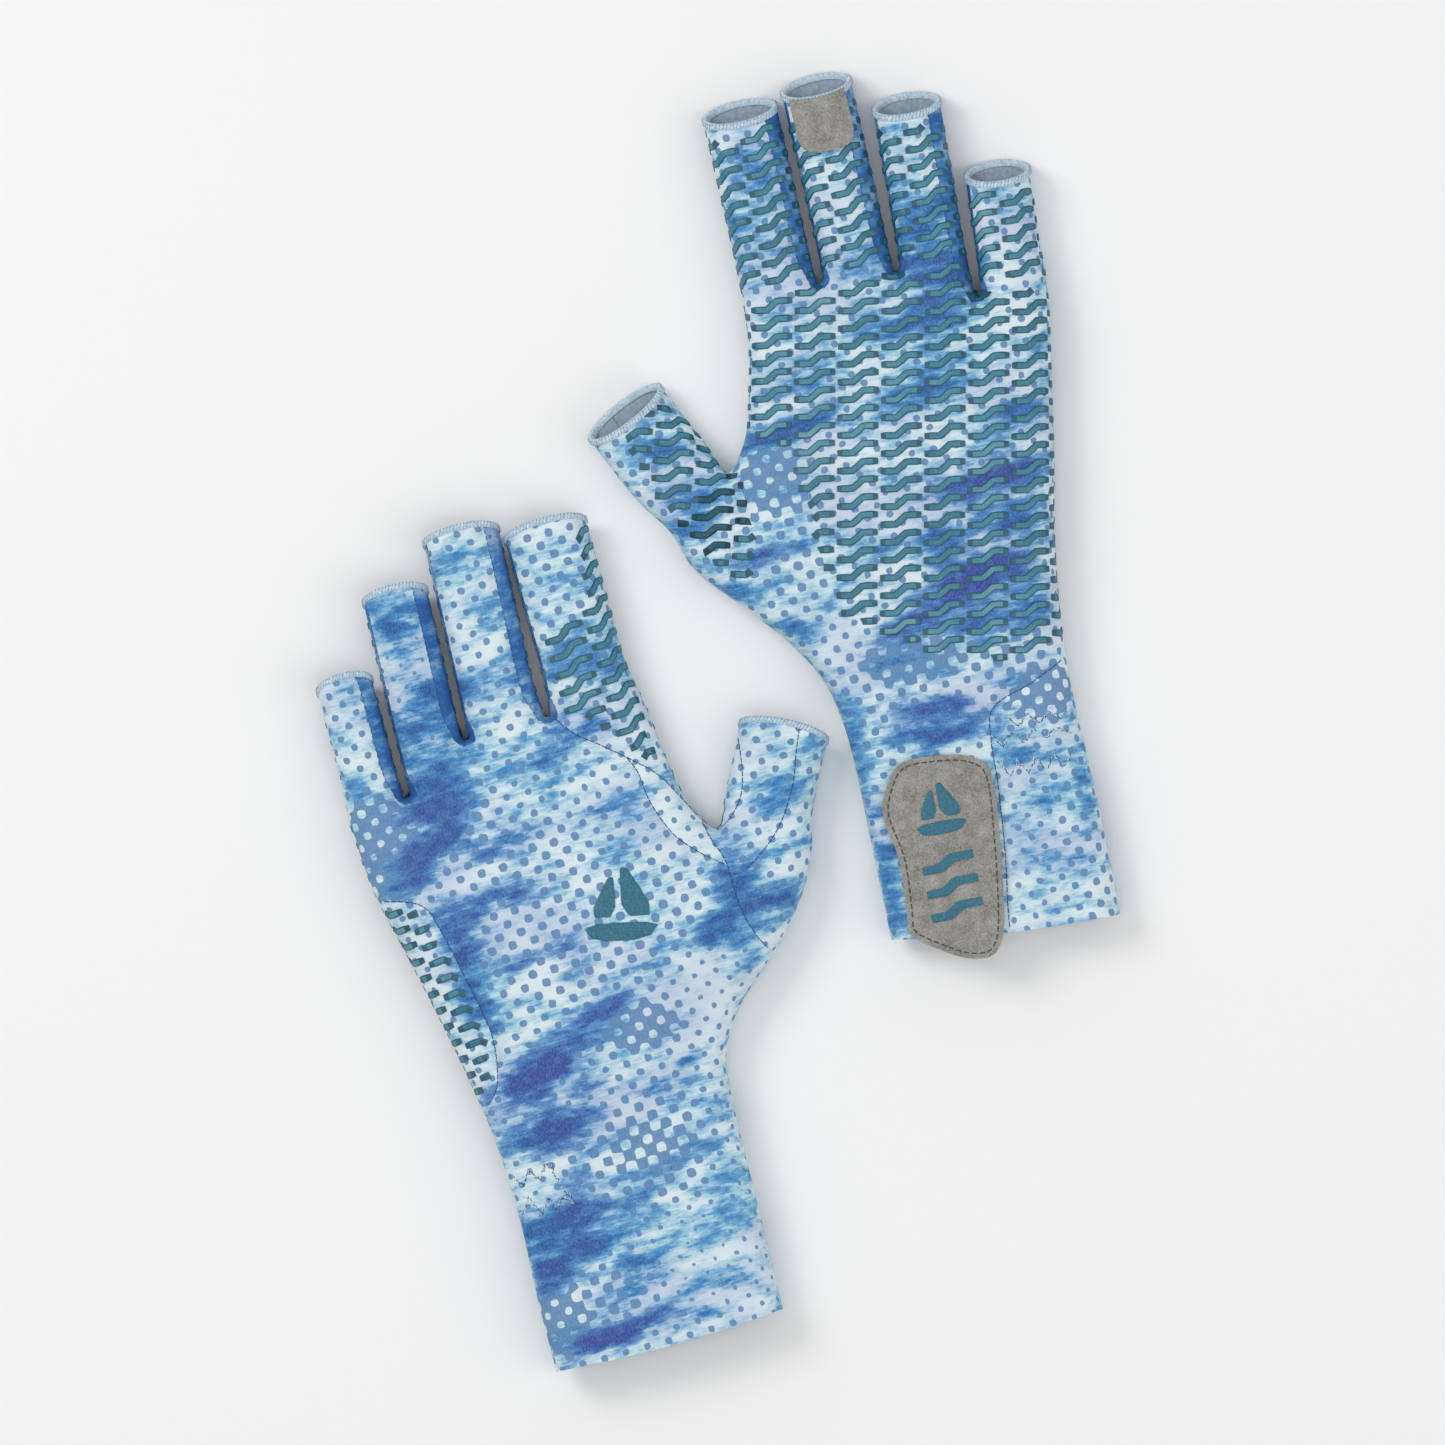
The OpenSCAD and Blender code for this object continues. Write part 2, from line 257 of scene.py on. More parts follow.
def even(line, step=STEP):
    """The same line with its points a step apart."""
    at = lengths(line)
    count = max(2, int(round(at[-1] / step)) + 1)
    return read_at(np.linspace(0, at[-1], count), at, line)


def slice_edge(glove, y, side):
    """Where the hand's edge is at y: the back panel's furthest point to that side."""
    p = glove.node_points("back_panel")
    e = np.array([edge.vertices for edge in glove.node("back_panel").data.edges])
    a, b = p[e[:, 0]], p[e[:, 1]]
    cross = (a[:, 1] - y) * (b[:, 1] - y) <= 0
    a, b = a[cross], b[cross]
    rise = b[:, 1] - a[:, 1]
    t = np.divide(y - a[:, 1], rise, out=np.zeros(len(a)), where=abs(rise) > TINY)
    x = a[:, 0] + t * (b[:, 0] - a[:, 0])
    return vec(x.max() if side > 0 else x.min(), y)


def crotch(glove, left, right):
    """The lowest point of the gap between two sleeves."""
    gap = (left.at(1, 0) + right.at(-1, 0)) / 2
    p = glove.node_points("back_panel")
    near = p[np.abs(p[:, 0] - gap[0]) < CROTCH_WIDE]
    return vec(gap[0], near[:, 1].max())


def finger_gap(glove, left, right):
    """Down the right edge of one finger, round the crotch, and up the left edge of the next."""
    low = crotch(glove, left, right)
    r = CROTCH_ROUND
    bend = [low + vec(r * math.sin(a), r - r * math.cos(a)) for a in np.radians([-90, -45, 0, 45, 90])]
    down = [left.at(1, left.end + BEYOND), left.at(1, left.end * MID_SHARE), left.at(0.99, NEAR_ROOT)]
    up = [right.at(-0.99, NEAR_ROOT), right.at(-1, right.end * MID_SHARE), right.at(-1, right.end + BEYOND)]
    return spline(down + bend + up)


class Outline:
    """The lines of a glove's outline, from its left side, seen from above, round to its right."""

    def __init__(self, glove):
        s = glove.side
        thumb, index, little = (glove.finger[n] for n in ("thumb", "index", "little"))
        order = [glove.finger[n] for n in (FINGERS[3::-1] if s > 0 else FINGERS[:4])]
        ulnar_side, thumb_side = (glove.node_points(n)[:, 1] for n in ("ulnar_side", "thumb_side"))
        self.hem = sorted([(-s, ulnar_side.min()), (s, thumb_side.min())])
        rows = np.linspace(ulnar_side.min() + 1, ulnar_side.max() - 0.5, 9)
        ulnar = [slice_edge(glove, y, -s) for y in rows]
        ulnar.insert(0, 2 * ulnar[0] - ulnar[1])
        ulnar += [little.at(-s, d) for d in (6, little.end * MID_SHARE, little.end + BEYOND)]
        rows = np.linspace(thumb_side.min() + 1, thumb.at(s, -7)[1], 11)
        ball = [slice_edge(glove, y, s) for y in rows]
        ball.insert(0, 2 * ball[0] - ball[1])
        ball += [thumb.at(s, d) for d in (5, thumb.end + BEYOND)]
        web = thumb.at(-s, -5)
        web_edge = [slice_edge(glove, y, s) for y in np.linspace(web[1] + 8, thumb_side.max() - 1, 4)]
        web_line = [thumb.at(-s, thumb.end + BEYOND), thumb.at(-s, 6), web, *web_edge,
                    *[index.at(s, d) for d in (6, index.end * MID_SHARE, index.end + BEYOND)]]
        gaps = [finger_gap(glove, a, b) for a, b in zip(order, order[1:])]
        ulnar, ball, web_line = spline(ulnar), spline(ball), spline(web_line)
        if s > 0:
            self.lines = [ulnar, *gaps, web_line[::-1], ball[::-1]]
            self.ends = [*order, thumb]
        else:
            self.lines = [ball, web_line, *gaps, ulnar[::-1]]
            self.ends = [thumb, *order]


for glove in GLOVES:
    glove.outline = Outline(glove)
    glove.web_line = glove.outline.lines[4 if glove.side > 0 else 1]
    print(glove.name, "outline lines:", [len(line) for line in glove.outline.lines])

# %% [markdown]
# ## How the cloth rounds over
# Near the outline the cloth bends down to meet the other face. How far a point is from the
# nearest line tells how high it stands, and the flat pattern is found by unrolling that bend, so
# a print drawn on the pattern runs over the edge without stretching. A sleeve that lies a little
# rolled shows more of its right side, so the bend is wider on that side.

# %% Distance to the outline
BEND_WIDE = 6.0
ROLL = 1.8
SOFTEN = 9


def unit(v):
    return v / np.maximum(np.linalg.norm(v, axis=-1, keepdims=True), TINY)


def segments(lines):
    """The starts and the ends of all the short pieces of some lines."""
    return np.vstack([line[:-1] for line in lines]), np.vstack([line[1:] for line in lines])


def nearest_on(points, a, b, chunk=2000):
    """For each point: its distance to the nearest of the segments a to b, where, and which."""
    d_all, s_all, k_all = [], [], []
    ab = b - a
    long2 = np.maximum((ab * ab).sum(1), 1e-12)
    for i in range(0, len(points), chunk):
        p = points[i: i + chunk, None, :]
        t = np.clip(((p - a) * ab).sum(2) / long2, 0, 1)
        foot = a + t[..., None] * ab
        d = np.linalg.norm(p - foot, axis=2)
        k = d.argmin(1)
        rows = np.arange(len(k))
        d_all.append(d[rows, k])
        s_all.append(foot[rows, k])
        k_all.append(k)
    return np.concatenate(d_all), np.concatenate(s_all), np.concatenate(k_all)


def line_normals(line):
    """Unit vectors that point into the cloth, on the right of the line's own direction."""
    t = unit(np.gradient(line, axis=0))
    return np.column_stack([t[:, 1], -t[:, 0]]), t


class Edges:
    """All of a glove's outline lines together."""

    def __init__(self, lines, roll):
        self.a, self.b = segments(lines)
        way = unit(self.b - self.a)
        self.normal = np.column_stack([way[:, 1], -way[:, 0]])
        bend = np.pad(BEND_WIDE - roll * way[:, 1], SOFTEN // 2, mode="edge")
        self.bend = np.convolve(bend, np.ones(SOFTEN) / SOFTEN, mode="valid")

    def look_up(self, points):
        d, foot, k = nearest_on(points, self.a, self.b)
        inward = np.where(d[:, None] > 1e-3, unit(points - foot), self.normal[k])
        return d, foot, inward, self.bend[k]


def rounding(d, bend):
    """Height as a share of the half thickness, from 0 at the outline to 1."""
    return np.sqrt(np.maximum(0, 1 - (1 - np.clip(d / bend, 0, 1)) ** 2))


def unrolled(points, d, foot, inward, bend):
    """Where each point lies on the flat pattern."""
    share = np.clip(1 - d / bend, -1, 1)
    reach = bend * np.arccos(share) - bend * (math.pi / 2 - 1)
    flat = foot + inward * reach[:, None]
    return np.where((d < bend)[:, None], flat, points)


def smooth(t):
    t = np.clip(t, 0, 1)
    return t * t * (3 - 2 * t)


# %% [markdown]
# ## Seams and panels
# A panel is a region of the pattern. Each is a polygon whose seen sides are seams, and the first
# polygon that holds a triangle decides its panel. Seams are drawn for a glove whose thumb points
# to +x, and mirrored for the other. Between two fingers the palm and back cloth stop short of the
# gap, and a strip fills it, whose darker colour is partly a deeper dye and partly painted shade of
# the recess between the fingers.

# %% Seam lines of the back and of the palm
FAR = 120
INDEX_WRAP = [(19, 165), (25, 160), (32, 154), (38, 148), (42, 141), (46, 133)]
GUSSET = [(31, 155), (33, 150), (33.5, 144), (35, 138), (38, 131), (43, 125), (49.3, 119.5)]
THUMB_ROOT = [(45.5, 136), (47, 128), (49.5, 120), (49.8, 108), (53, 97), (60, 88)]
THUMB_INNER = [(63, 160), (62, 155), (60, 142), (57, 135), (51, 130), (46.3, 132)]
THUMB_OUTER = [(81, 158), (79, 152), (76, 145), (72, 135), (65, 125), (55, 117.5), (49.5, 116.5)]
ULNAR_WRAP = [(-50, 138), (-43, 135), (-33, 131), (-29.5, 122), (-27, 110), (-25, 100), (-24, 92),
              (-25, 83), (-28, 76), (-36, 70)]
CUFF_WRAP = [(-40, 76), (-30, 70), (-20, 65), (-8.5, 60.5), (-6.2, 52), (-5.8, 40), (-4, 20), (-2, 6),
             (0, -14)]
WRIST = 60
REACH = {"a": 171.0, "b": 182.0}


def stretch(points, grow):
    """Moves all beyond the wrist further out, so that what is drawn for one glove fits the other."""
    p = np.array(points, float)
    p[:, 1] = np.where(p[:, 1] > WRIST, WRIST + (p[:, 1] - WRIST) * grow, p[:, 1])
    return p


class Face:
    """The upper or the lower face of a glove, with its own panels."""

    def __init__(self, glove, upper):
        self.glove, self.upper = glove, upper
        self.shows_back = upper == glove.back_up
        self.roll = ROLL if upper else -ROLL
        drawn_for = "a" if self.shows_back else "b"
        self.grow = (REACH[glove.name] - WRIST) / (REACH[drawn_for] - WRIST)
        self.name = f"{glove.name}_{'upper' if upper else 'lower'}"
        self.seams = {}
        self.areas = self.back_areas() if self.shows_back else self.palm_areas()

    def place(self, points):
        """Points drawn for one glove, carried over to this one."""
        return stretch(points, self.grow) * vec(self.glove.side, 1)

    def seam(self, name, points, start=None):
        """Notes a seam as a smooth line, and gives back its points."""
        placed = self.place(points)
        if start is not None:
            placed = np.vstack([start, placed])
        self.seams[name] = spline(placed)
        return self.seams[name]

    def back_areas(self):
        """Regions of a back face, first match wins. Points that close a polygon lie off the cloth."""
        gap = self.glove.outline.lines[3 if self.glove.side > 0 else 2]
        start = gap[gap[:, 1].argmin()] + vec(0, 0.3)
        wrap = self.seam("index_wrap", INDEX_WRAP, start)
        inner, outer = self.seam("thumb_inner", THUMB_INNER), self.seam("thumb_outer", THUMB_OUTER)
        root, gusset = self.seam("thumb_root", THUMB_ROOT), self.seam("gusset", GUSSET)
        ulnar = self.seam("ulnar_side", ULNAR_WRAP)
        low = root[root[:, 1] < outer[-1][1]]
        return {
            "index_wrap": np.vstack([wrap, self.place([(52, 150), (52, 190), (13, 200)])]),
            "thumb_inner": np.vstack([inner, self.place([(44, 138), (50, 150), (56, 165)])]),
            "thumb_outer": np.vstack([outer, low, self.place([(FAR, 80), (FAR, 158)])]),
            "thumb_back": np.vstack([root, self.place([(FAR, 88), (FAR, 170), (45.5, 170)])]),
            "gusset": np.vstack([gusset, self.place([(55, 119), (48, 160), (31, 160)])]),
            "ulnar_side": np.vstack([ulnar, self.place([(-FAR, 70), (-FAR, 138)])]),
        }

    def palm_areas(self):
        """Regions of a palm face."""
        cuff = self.seam("cuff_wrap", CUFF_WRAP)
        return {"cuff_wrap": np.vstack([cuff, self.place([(-FAR, -14), (-FAR, 76)])])}


# %% [markdown]
# ## Which finger a piece of cloth belongs to
# Beyond its root a finger's cloth belongs to its sleeve, so the pattern is also cut along each
# root line. That cut isn't a seam and doesn't show: the two sides meet edge to edge.

# %% Root lines and strips between fingers
BEND_LENGTH = 24.0
THUMB_START = -5.0
SPARE_WIDE = 0.45
SPARE_LONG = 9
STRIP_CLOSE = 0.7
STRIP_MORE = 3.1
STRIP_BELOW = 2.6


def root_of(glove, finger):
    """How far along the finger its bending begins: level with the higher of its two crotches."""
    start = THUMB_START
    for line in glove.outline.lines[1:-1]:
        low = line[line[:, 1].argmin()]
        across = abs((low - finger.hinge) @ finger.across)
        if finger.name != "thumb" and across < finger.half + 3:
            start = max(start, (low - finger.hinge) @ finger.along - 0.5)
    return start


def finger_area(finger, start):
    """The polygon that holds all of a finger beyond its root line."""
    side = 1 + SPARE_WIDE / finger.half
    return finger_box(finger, side, start, finger.end + SPARE_LONG)


def finger_box(finger, side, start, end):
    """A rectangle along a finger, side counted in half widths."""
    return np.array([finger.at(-side, start), finger.at(side, start), finger.at(side, end),
                     finger.at(-side, end)])


def strip_seam(line, upper):
    """The seam beside a gap between fingers: wide of the gap on the left finger, close on the right."""
    normal, way = line_normals(line)
    falling = smooth(-way[:, 1] * 0.5 + 0.5)
    wide = (STRIP_CLOSE + STRIP_MORE * falling) if upper else np.full(len(line), STRIP_BELOW)
    bend = 1.9 * np.exp(-((line[:, 1] - line[:, 1].min()) / 5.0) ** 2)
    return line + normal * np.maximum(wide * (1 - bend / 4), bend)[:, None]


def strip_area(line, upper):
    normal, _ = line_normals(line)
    return np.vstack([line - normal * 0.8, strip_seam(line, upper)[::-1]])


# %% [markdown]
# ## Filling the pattern with triangles
# Blender's own constrained triangulation takes the outline and the seams as edges and joins them
# with the points inside. Near the outline the points stand in rows that get closer together, so
# that they are evenly spaced once the cloth has been rounded over.

# %% Points and triangles
ROW_ANGLES = np.radians([13, 27, 42, 58, 74, 90])
LIP_TURNS = np.linspace(-math.pi / 2, math.pi / 2, 25)
LIP_GAP = 0.3
HEM_BOW = 1.5
HEM_GAP = 0.8
FIELD_STEP = STEP * 1.15
FIELD_GAP = 0.9
SEAM_GAP = 0.6
ROW_KEEP = 0.93
JOIN = 1e-4


def inside(points, polygon):
    """Which of the points lie in the polygon."""
    x, y = points[:, 0][:, None], points[:, 1][:, None]
    a, b = polygon, np.roll(polygon, -1, axis=0)
    spans = (a[:, 1] > y) != (b[:, 1] > y)
    rise = np.where(np.abs(b[:, 1] - a[:, 1]) < 1e-12, 1e-12, b[:, 1] - a[:, 1])
    hit = x < (b[:, 0] - a[:, 0]) * (y - a[:, 1]) / rise + a[:, 0]
    return (spans & hit).sum(1) % 2 == 1


def clipped(line, before, after):
    """The part of an outline line between the two open ends that it joins."""
    keep = np.ones(len(line), bool)
    middle = len(line) // 2
    for finger, half in ((before, slice(0, middle)), (after, slice(middle, None))):
        if finger:
            keep[half] &= (line[half] - finger.hinge) @ finger.along < finger.end - LIP_GAP
    return line[keep]


def hem_line(glove):
    """The cuff's open end, which bows a little, from left to right."""
    (_, low_left), (_, low_right) = glove.outline.hem
    left, right = slice_edge(glove, low_left + 1, -1)[0], slice_edge(glove, low_right + 1, 1)[0]
    u = np.linspace(0, 1, 40)
    return np.column_stack([left + (right - left) * u,
                            low_left + (low_right - low_left) * u - HEM_BOW * np.sin(math.pi * u)])


def boundary(glove, upper):
    """The whole outline of one face, as one closed line."""
    ends = [None, *glove.outline.ends, None]
    hem = hem_line(glove)
    parts = []
    for line, before, after in zip(glove.outline.lines, ends, ends[1:]):
        part = clipped(line, before, after)
        if before is None:
            part = part[part[:, 1] > hem[0, 1] + HEM_GAP]
        if after is None:
            part = part[part[:, 1] > hem[-1, 1] + HEM_GAP]
        parts.append(part)
        if after is not None:
            parts.append(after.arch(upper, LIP_TURNS))
    return np.vstack([*parts, hem[::-1]])


def grid_points(polygon, step):
    """Staggered rows of points over the box round a polygon."""
    low, high = polygon.min(0), polygon.max(0)
    rows = []
    for j, y in enumerate(np.arange(low[1], high[1], step * 0.866)):
        xs = np.arange(low[0] + (j % 2) * step / 2, high[0], step)
        rows.append(np.column_stack([xs, np.full(len(xs), y)]))
    return np.vstack(rows)


def row_points(lines, edges):
    """Rows of points beside the outline lines, each row a little further into the cloth."""
    rows = []
    for line in lines:
        normal, _ = line_normals(line)
        bend = edges.look_up(line)[3]
        for angle in ROW_ANGLES:
            depth = bend * (1 - math.cos(angle))
            row = line + normal * depth[:, None]
            rows.append(row[edges.look_up(row)[0] > ROW_KEEP * depth])
    return np.vstack(rows)


def ring_links(count):
    """Links that join points in a ring."""
    return [(i, (i + 1) % count) for i in range(count)]


def joined(verts, links, kind):
    """Blender's triangulation of some points with fixed links: its points and its triangles."""
    out = delaunay_2d_cdt([Vector(v) for v in verts], links, [], kind, JOIN)
    return np.array([v[:] for v in out[0]]), np.array(out[2])


def triangles(polygon, seams, lines, edges):
    """Fills the polygon, with every seam along the triangles' edges."""
    field = grid_points(polygon, FIELD_STEP)
    d, _, _, bend = edges.look_up(field)
    points = np.vstack([row_points(lines, edges), field[d > bend + FIELD_GAP]])
    points = points[inside(points, polygon)]
    walls = segments([*seams, *open_ends(polygon, edges)])
    points = points[nearest_on(points, *walls)[0] > SEAM_GAP]
    verts = [*polygon]
    links = ring_links(len(polygon))
    for seam in seams:
        links += [(len(verts) + i, len(verts) + i + 1) for i in range(len(seam) - 1)]
        verts += [*seam]
    flat, tris = joined([*verts, *points], links, 0)
    return flat, tris[inside(flat[tris].mean(1), polygon)]


def open_ends(polygon, edges):
    """The stretches of the boundary that aren't outline lines: the finger openings and the hem."""
    away = edges.look_up(polygon)[0] > LIP_GAP
    runs, start = [], None
    for i, free in enumerate([*away, False]):
        if free and start is None:
            start = i
        if not free and start is not None:
            if i - start > 2:
                runs.append(polygon[start:i])
            start = None
    return runs


# %% [markdown]
# ## Lifting the pattern into shape
# The middle of the hand stands higher than its edges, and the frame's two panels say how high.
# Seams pull the cloth in, the cloth puckers beside them, and a few soft waves keep it from looking
# moulded. All of this is a height over the pattern, so it is worked out with arrays of numbers.

# %% Heights
HALF = 6.0


def profile(glove, name):
    """The height of one of the hand's two panels along y, from the frame."""
    p = glove.node_points(name)
    order = p[np.argsort(p[:, 1])]
    y = np.linspace(order[0, 1], order[-1, 1], 30)
    top = name == ("back_panel" if glove.back_up else "palm_panel")
    z = [order[np.abs(order[:, 1] - v) < 6][:, 2] for v in y]
    return y, np.array([(v.max() if top else v.min()) if len(v) else np.nan for v in z])


def waves(points, seed, length, count=5):
    """Soft, repeatable waves of about one length, from -1 to 1."""
    rng = np.random.default_rng(seed)
    total = np.zeros(len(points))
    for _ in range(count):
        a = rng.uniform(0, math.tau)
        k = math.tau / (length * rng.uniform(0.75, 1.4))
        total += np.sin(points @ vec(math.cos(a), math.sin(a)) * k + rng.uniform(0, math.tau))
    return total / count * 1.6


def seam_pull(points, seams, seed):
    """How far the seams pull the cloth down, and the puckers beside them, in millimetres."""
    if not seams:
        return np.zeros(len(points))
    d = nearest_on(points, *segments(seams))[0]
    groove = -0.62 * np.exp(-(d / 1.1) ** 2) + 0.20 * np.exp(-((d - 3.0) / 1.6) ** 2)
    pucker = 0.22 * waves(points, seed, 6.0) * np.exp(-(d / 4.5) ** 2)
    return groove + pucker


class Shape:
    """Heights of one glove's cloth."""

    def __init__(self, glove):
        self.glove = glove
        y, back = profile(glove, "back_panel")
        palm = np.interp(y, *profile(glove, "palm_panel"))
        self.y, self.top, self.low = y, np.maximum(back, palm), np.minimum(back, palm)
        self.thumb = glove.fingers[4]
        self.web = glove.web_line[glove.web_line[:, 1].argmin()]

    def lift(self, points, upper, seams, edges):
        """The height of each pattern point."""
        d, _, _, bend = edges.look_up(points)
        top = np.interp(points[:, 1], self.y, self.top)
        low = np.interp(points[:, 1], self.y, self.low)
        along_thumb = (points - self.thumb.hinge) @ self.thumb.along
        swell = np.maximum(top - low - 2 * HALF, 0) * (1 - smooth((along_thumb + 24) / 26))
        swell *= 1 - smooth((points[:, 1] - (REACH[self.glove.name] - 18)) / 20)
        middle = self.glove.fingers[0].z + 0.25 * swell + (low - self.low.min()) * 0.8
        round_off = rounding(d, bend)
        seed = (11 if upper else 23) + (3 if self.glove.side < 0 else 0)
        calm = np.clip(d / 4, 0, 1)
        detail = seam_pull(points, seams, seed) + 0.30 * waves(points, seed + 1, 26)
        detail += 0.10 * waves(points, seed + 2, 9)
        if upper:
            z = middle + HALF * round_off + swell * 0.75 * smooth(d / 26) + self.creases(points) * calm
            return z + detail * calm
        z = middle - HALF * round_off - swell * 0.25 * smooth(d / 26)
        return np.maximum(z - detail * calm * 0.3, self.glove.fingers[0].z - HALF + 0.02)

    def creases(self, points):
        """Folds that fan out from the web of the thumb, and gathers at the elastic."""
        v = (points - self.web) * vec(self.glove.side, 1)
        r = np.linalg.norm(v, axis=1)
        angle = np.arctan2(v[:, 1], v[:, 0])
        fan = 0.55 * np.sin(angle * 9 + 0.8) * np.exp(-((r - 11) / 8) ** 2) * smooth((r - 2) / 5)
        x, y = points[:, 0] * -self.glove.side, points[:, 1]
        gather = smooth((x + 2) / 8) * np.exp(-((y - 49) / 9) ** 2)
        return fan + 0.30 * gather * waves(points * vec(1, 0.35), 5, 6.5)


for glove in GLOVES:
    glove.shape = Shape(glove)
    print(glove.name, "hand is", (glove.shape.top - glove.shape.low).max().round(1), "mm thick")


# %% [markdown]
# ## Cutting the panels out
# Every triangle is given to a panel and to the finger or hand that it belongs to. Each panel then
# becomes its own mesh. Solidify gives it the thickness of the knit, on the inside, and a UV map
# keeps its flat pattern in units of 100 millimetres for the print to follow.

# %% Panels of each face
class Pattern:
    """One face of a glove: its triangles, their shape, and which panel and finger each is in."""

    def __init__(self, glove, upper):
        self.glove, self.upper = glove, upper
        self.face = face = Face(glove, upper)
        lines = glove.outline.lines
        self.edges = edges = Edges(lines, face.roll)
        web = glove.web_line
        gaps = [line for line in lines[1:-1] if line is not web]
        for i, line in enumerate(gaps):
            face.seams[f"gap_{i}"] = strip_seam(line, upper)
        fingers = [(f, finger_area(f, root_of(glove, f))) for f in glove.fingers]
        seams = list(face.seams.values())
        cuts = seams + [even(p[:2]) for _, p in fingers]
        self.flat, self.tris = triangles(boundary(glove, upper), cuts, lines, edges)
        self.points = np.column_stack([self.flat, glove.shape.lift(self.flat, upper, seams, edges)])
        self.pattern = unrolled(self.flat, *edges.look_up(self.flat))
        centre = self.flat[self.tris].mean(1)
        self.owner = np.full(len(centre), "hand", dtype="U12")
        for f, area in fingers:
            self.owner[inside(centre, area)] = f.name
        main = "back_panel" if face.shows_back else "palm_panel"
        self.panel = np.full(len(centre), main, dtype="U12")
        for name, area in reversed(face.areas.items()):
            self.panel[inside(centre, area)] = name
        index = self.owner == "index"
        self.panel[index & face.shows_back] = "index_wrap"
        inner = np.isin(self.owner, ["middle", "ring", "little"])
        self.panel[inner & (self.panel == "index_wrap")] = "back_panel"
        for line in gaps:
            self.panel[inside(centre, strip_area(line, upper))] = "strip"
        if not upper:
            self.tris = self.tris[:, ::-1]


PATTERNS = {(g.name, upper): Pattern(g, upper) for g in GLOVES for upper in (True, False)}
for pattern in PATTERNS.values():
    labels, counts = np.unique(pattern.panel, return_counts=True)
    print(pattern.face.name, dict(zip(labels.tolist(), counts.tolist())))

# %% [markdown]
# ## Where the dye lies
# The print is brushed and blotted dye under a grid of dots. Its big shapes are laid down here as
# soft strokes on the pattern, each with a place, a length and width, a tilt and a strength, and
# kept as numbers on the cloth's points. The material adds all that is finer than a stroke.

# %% Strokes of dye and sizes of dots
# Each stroke: x, y, half length, half width, tilt in degrees, strength, and 0 for azure to 1 for violet.
BACK_DYE = [
    (-12, 64, 14, 6, 8, 1.15, 1.0), (-24, 62, 8, 3, 0, 0.7, 0.1), (-15, 38, 6, 9, -20, 1.15, 1.0),
    (-25, 36, 9, 7, 0, 0.9, 0.2), (-26, 24, 7, 5, 10, 1.1, 0.8), (-4, 38, 11, 3, 12, 0.7, 0.6),
    (-10, 30, 13, 5, 10, 0.75, 0.2), (-12, 5.5, 17, 3.2, 3, 1.2, 0.9), (9, 4, 9, 2, 12, 0.55, 0.3),
    (-8, 82, 18, 5, 22, 1.0, 0.8), (-20, 76, 9, 6, 10, 1.05, 0.9), (6, 90, 10, 3, 15, 0.65, 0.8),
    (-26, 104, 5, 15, 10, 0.95, 0.4), (-24, 122, 8, 8, 0, 0.95, 0.8), (-23, 149, 13, 8, 20, 1.05, 0.7),
    (-34, 139, 9, 4, 15, 1.0, 0.6), (-8, 140, 15, 3, 8, 0.6, 0.7), (-12, 128, 12, 3.4, 8, 0.75, 0.9),
    (27, 144, 12, 3, 8, 0.75, 0.5), (2, 160, 21, 2.6, 6, 0.55, 0.4), (-18, 165, 12, 7, 5, 0.8, 0.3),
    (-18, 181, 10, 9, 0, 0.95, 0.2), (-18, 206, 9, 7, 5, 1.2, 0.15), (0, 218, 9, 3, 5, 0.45, 0.2),
    (2, 187, 10, 3, 5, 0.32, 0.2), (26, 207, 11, 2.5, 3, 0.85, 0.4), (24, 184, 11, 7, 0, 0.62, 0.4),
    (22, 168, 9, 4, -20, 0.75, 0.6), (-42, 167, 4, 4, 0, 0.6, 0.1), (-36, 200, 5, 3, 0, 0.35, 0.2),
    (50, 111, 8, 9, 0, 0.9, 0.5), (60, 106, 6, 5, 30, 0.8, 0.6), (43, 104, 7, 6, 0, 0.75, 0.2),
    (68, 134, 8, 6, 20, 0.6, 0.2), (47, 92, 6, 2, 30, 0.5, 0.0), (26, 72, 7, 1.6, 25, 0.8, 0.1),
    (31, 58, 5, 1.6, 20, 0.8, 0.0), (14, 46, 13, 2.6, 10, 0.65, 0.6), (20, 28, 13, 7, 15, 0.32, 0.2),
    (16, 13, 16, 4, 12, 0.34, 0.2), (0, 22, 13, 4, 5, 0.5, 0.3), (-9, 14, 11, 4, 5, 0.5, 0.2),
    (-6, 100, 14, 4, 12, 0.35, 0.6), (-4, 111, 10, 3, 10, 0.35, 0.8)]
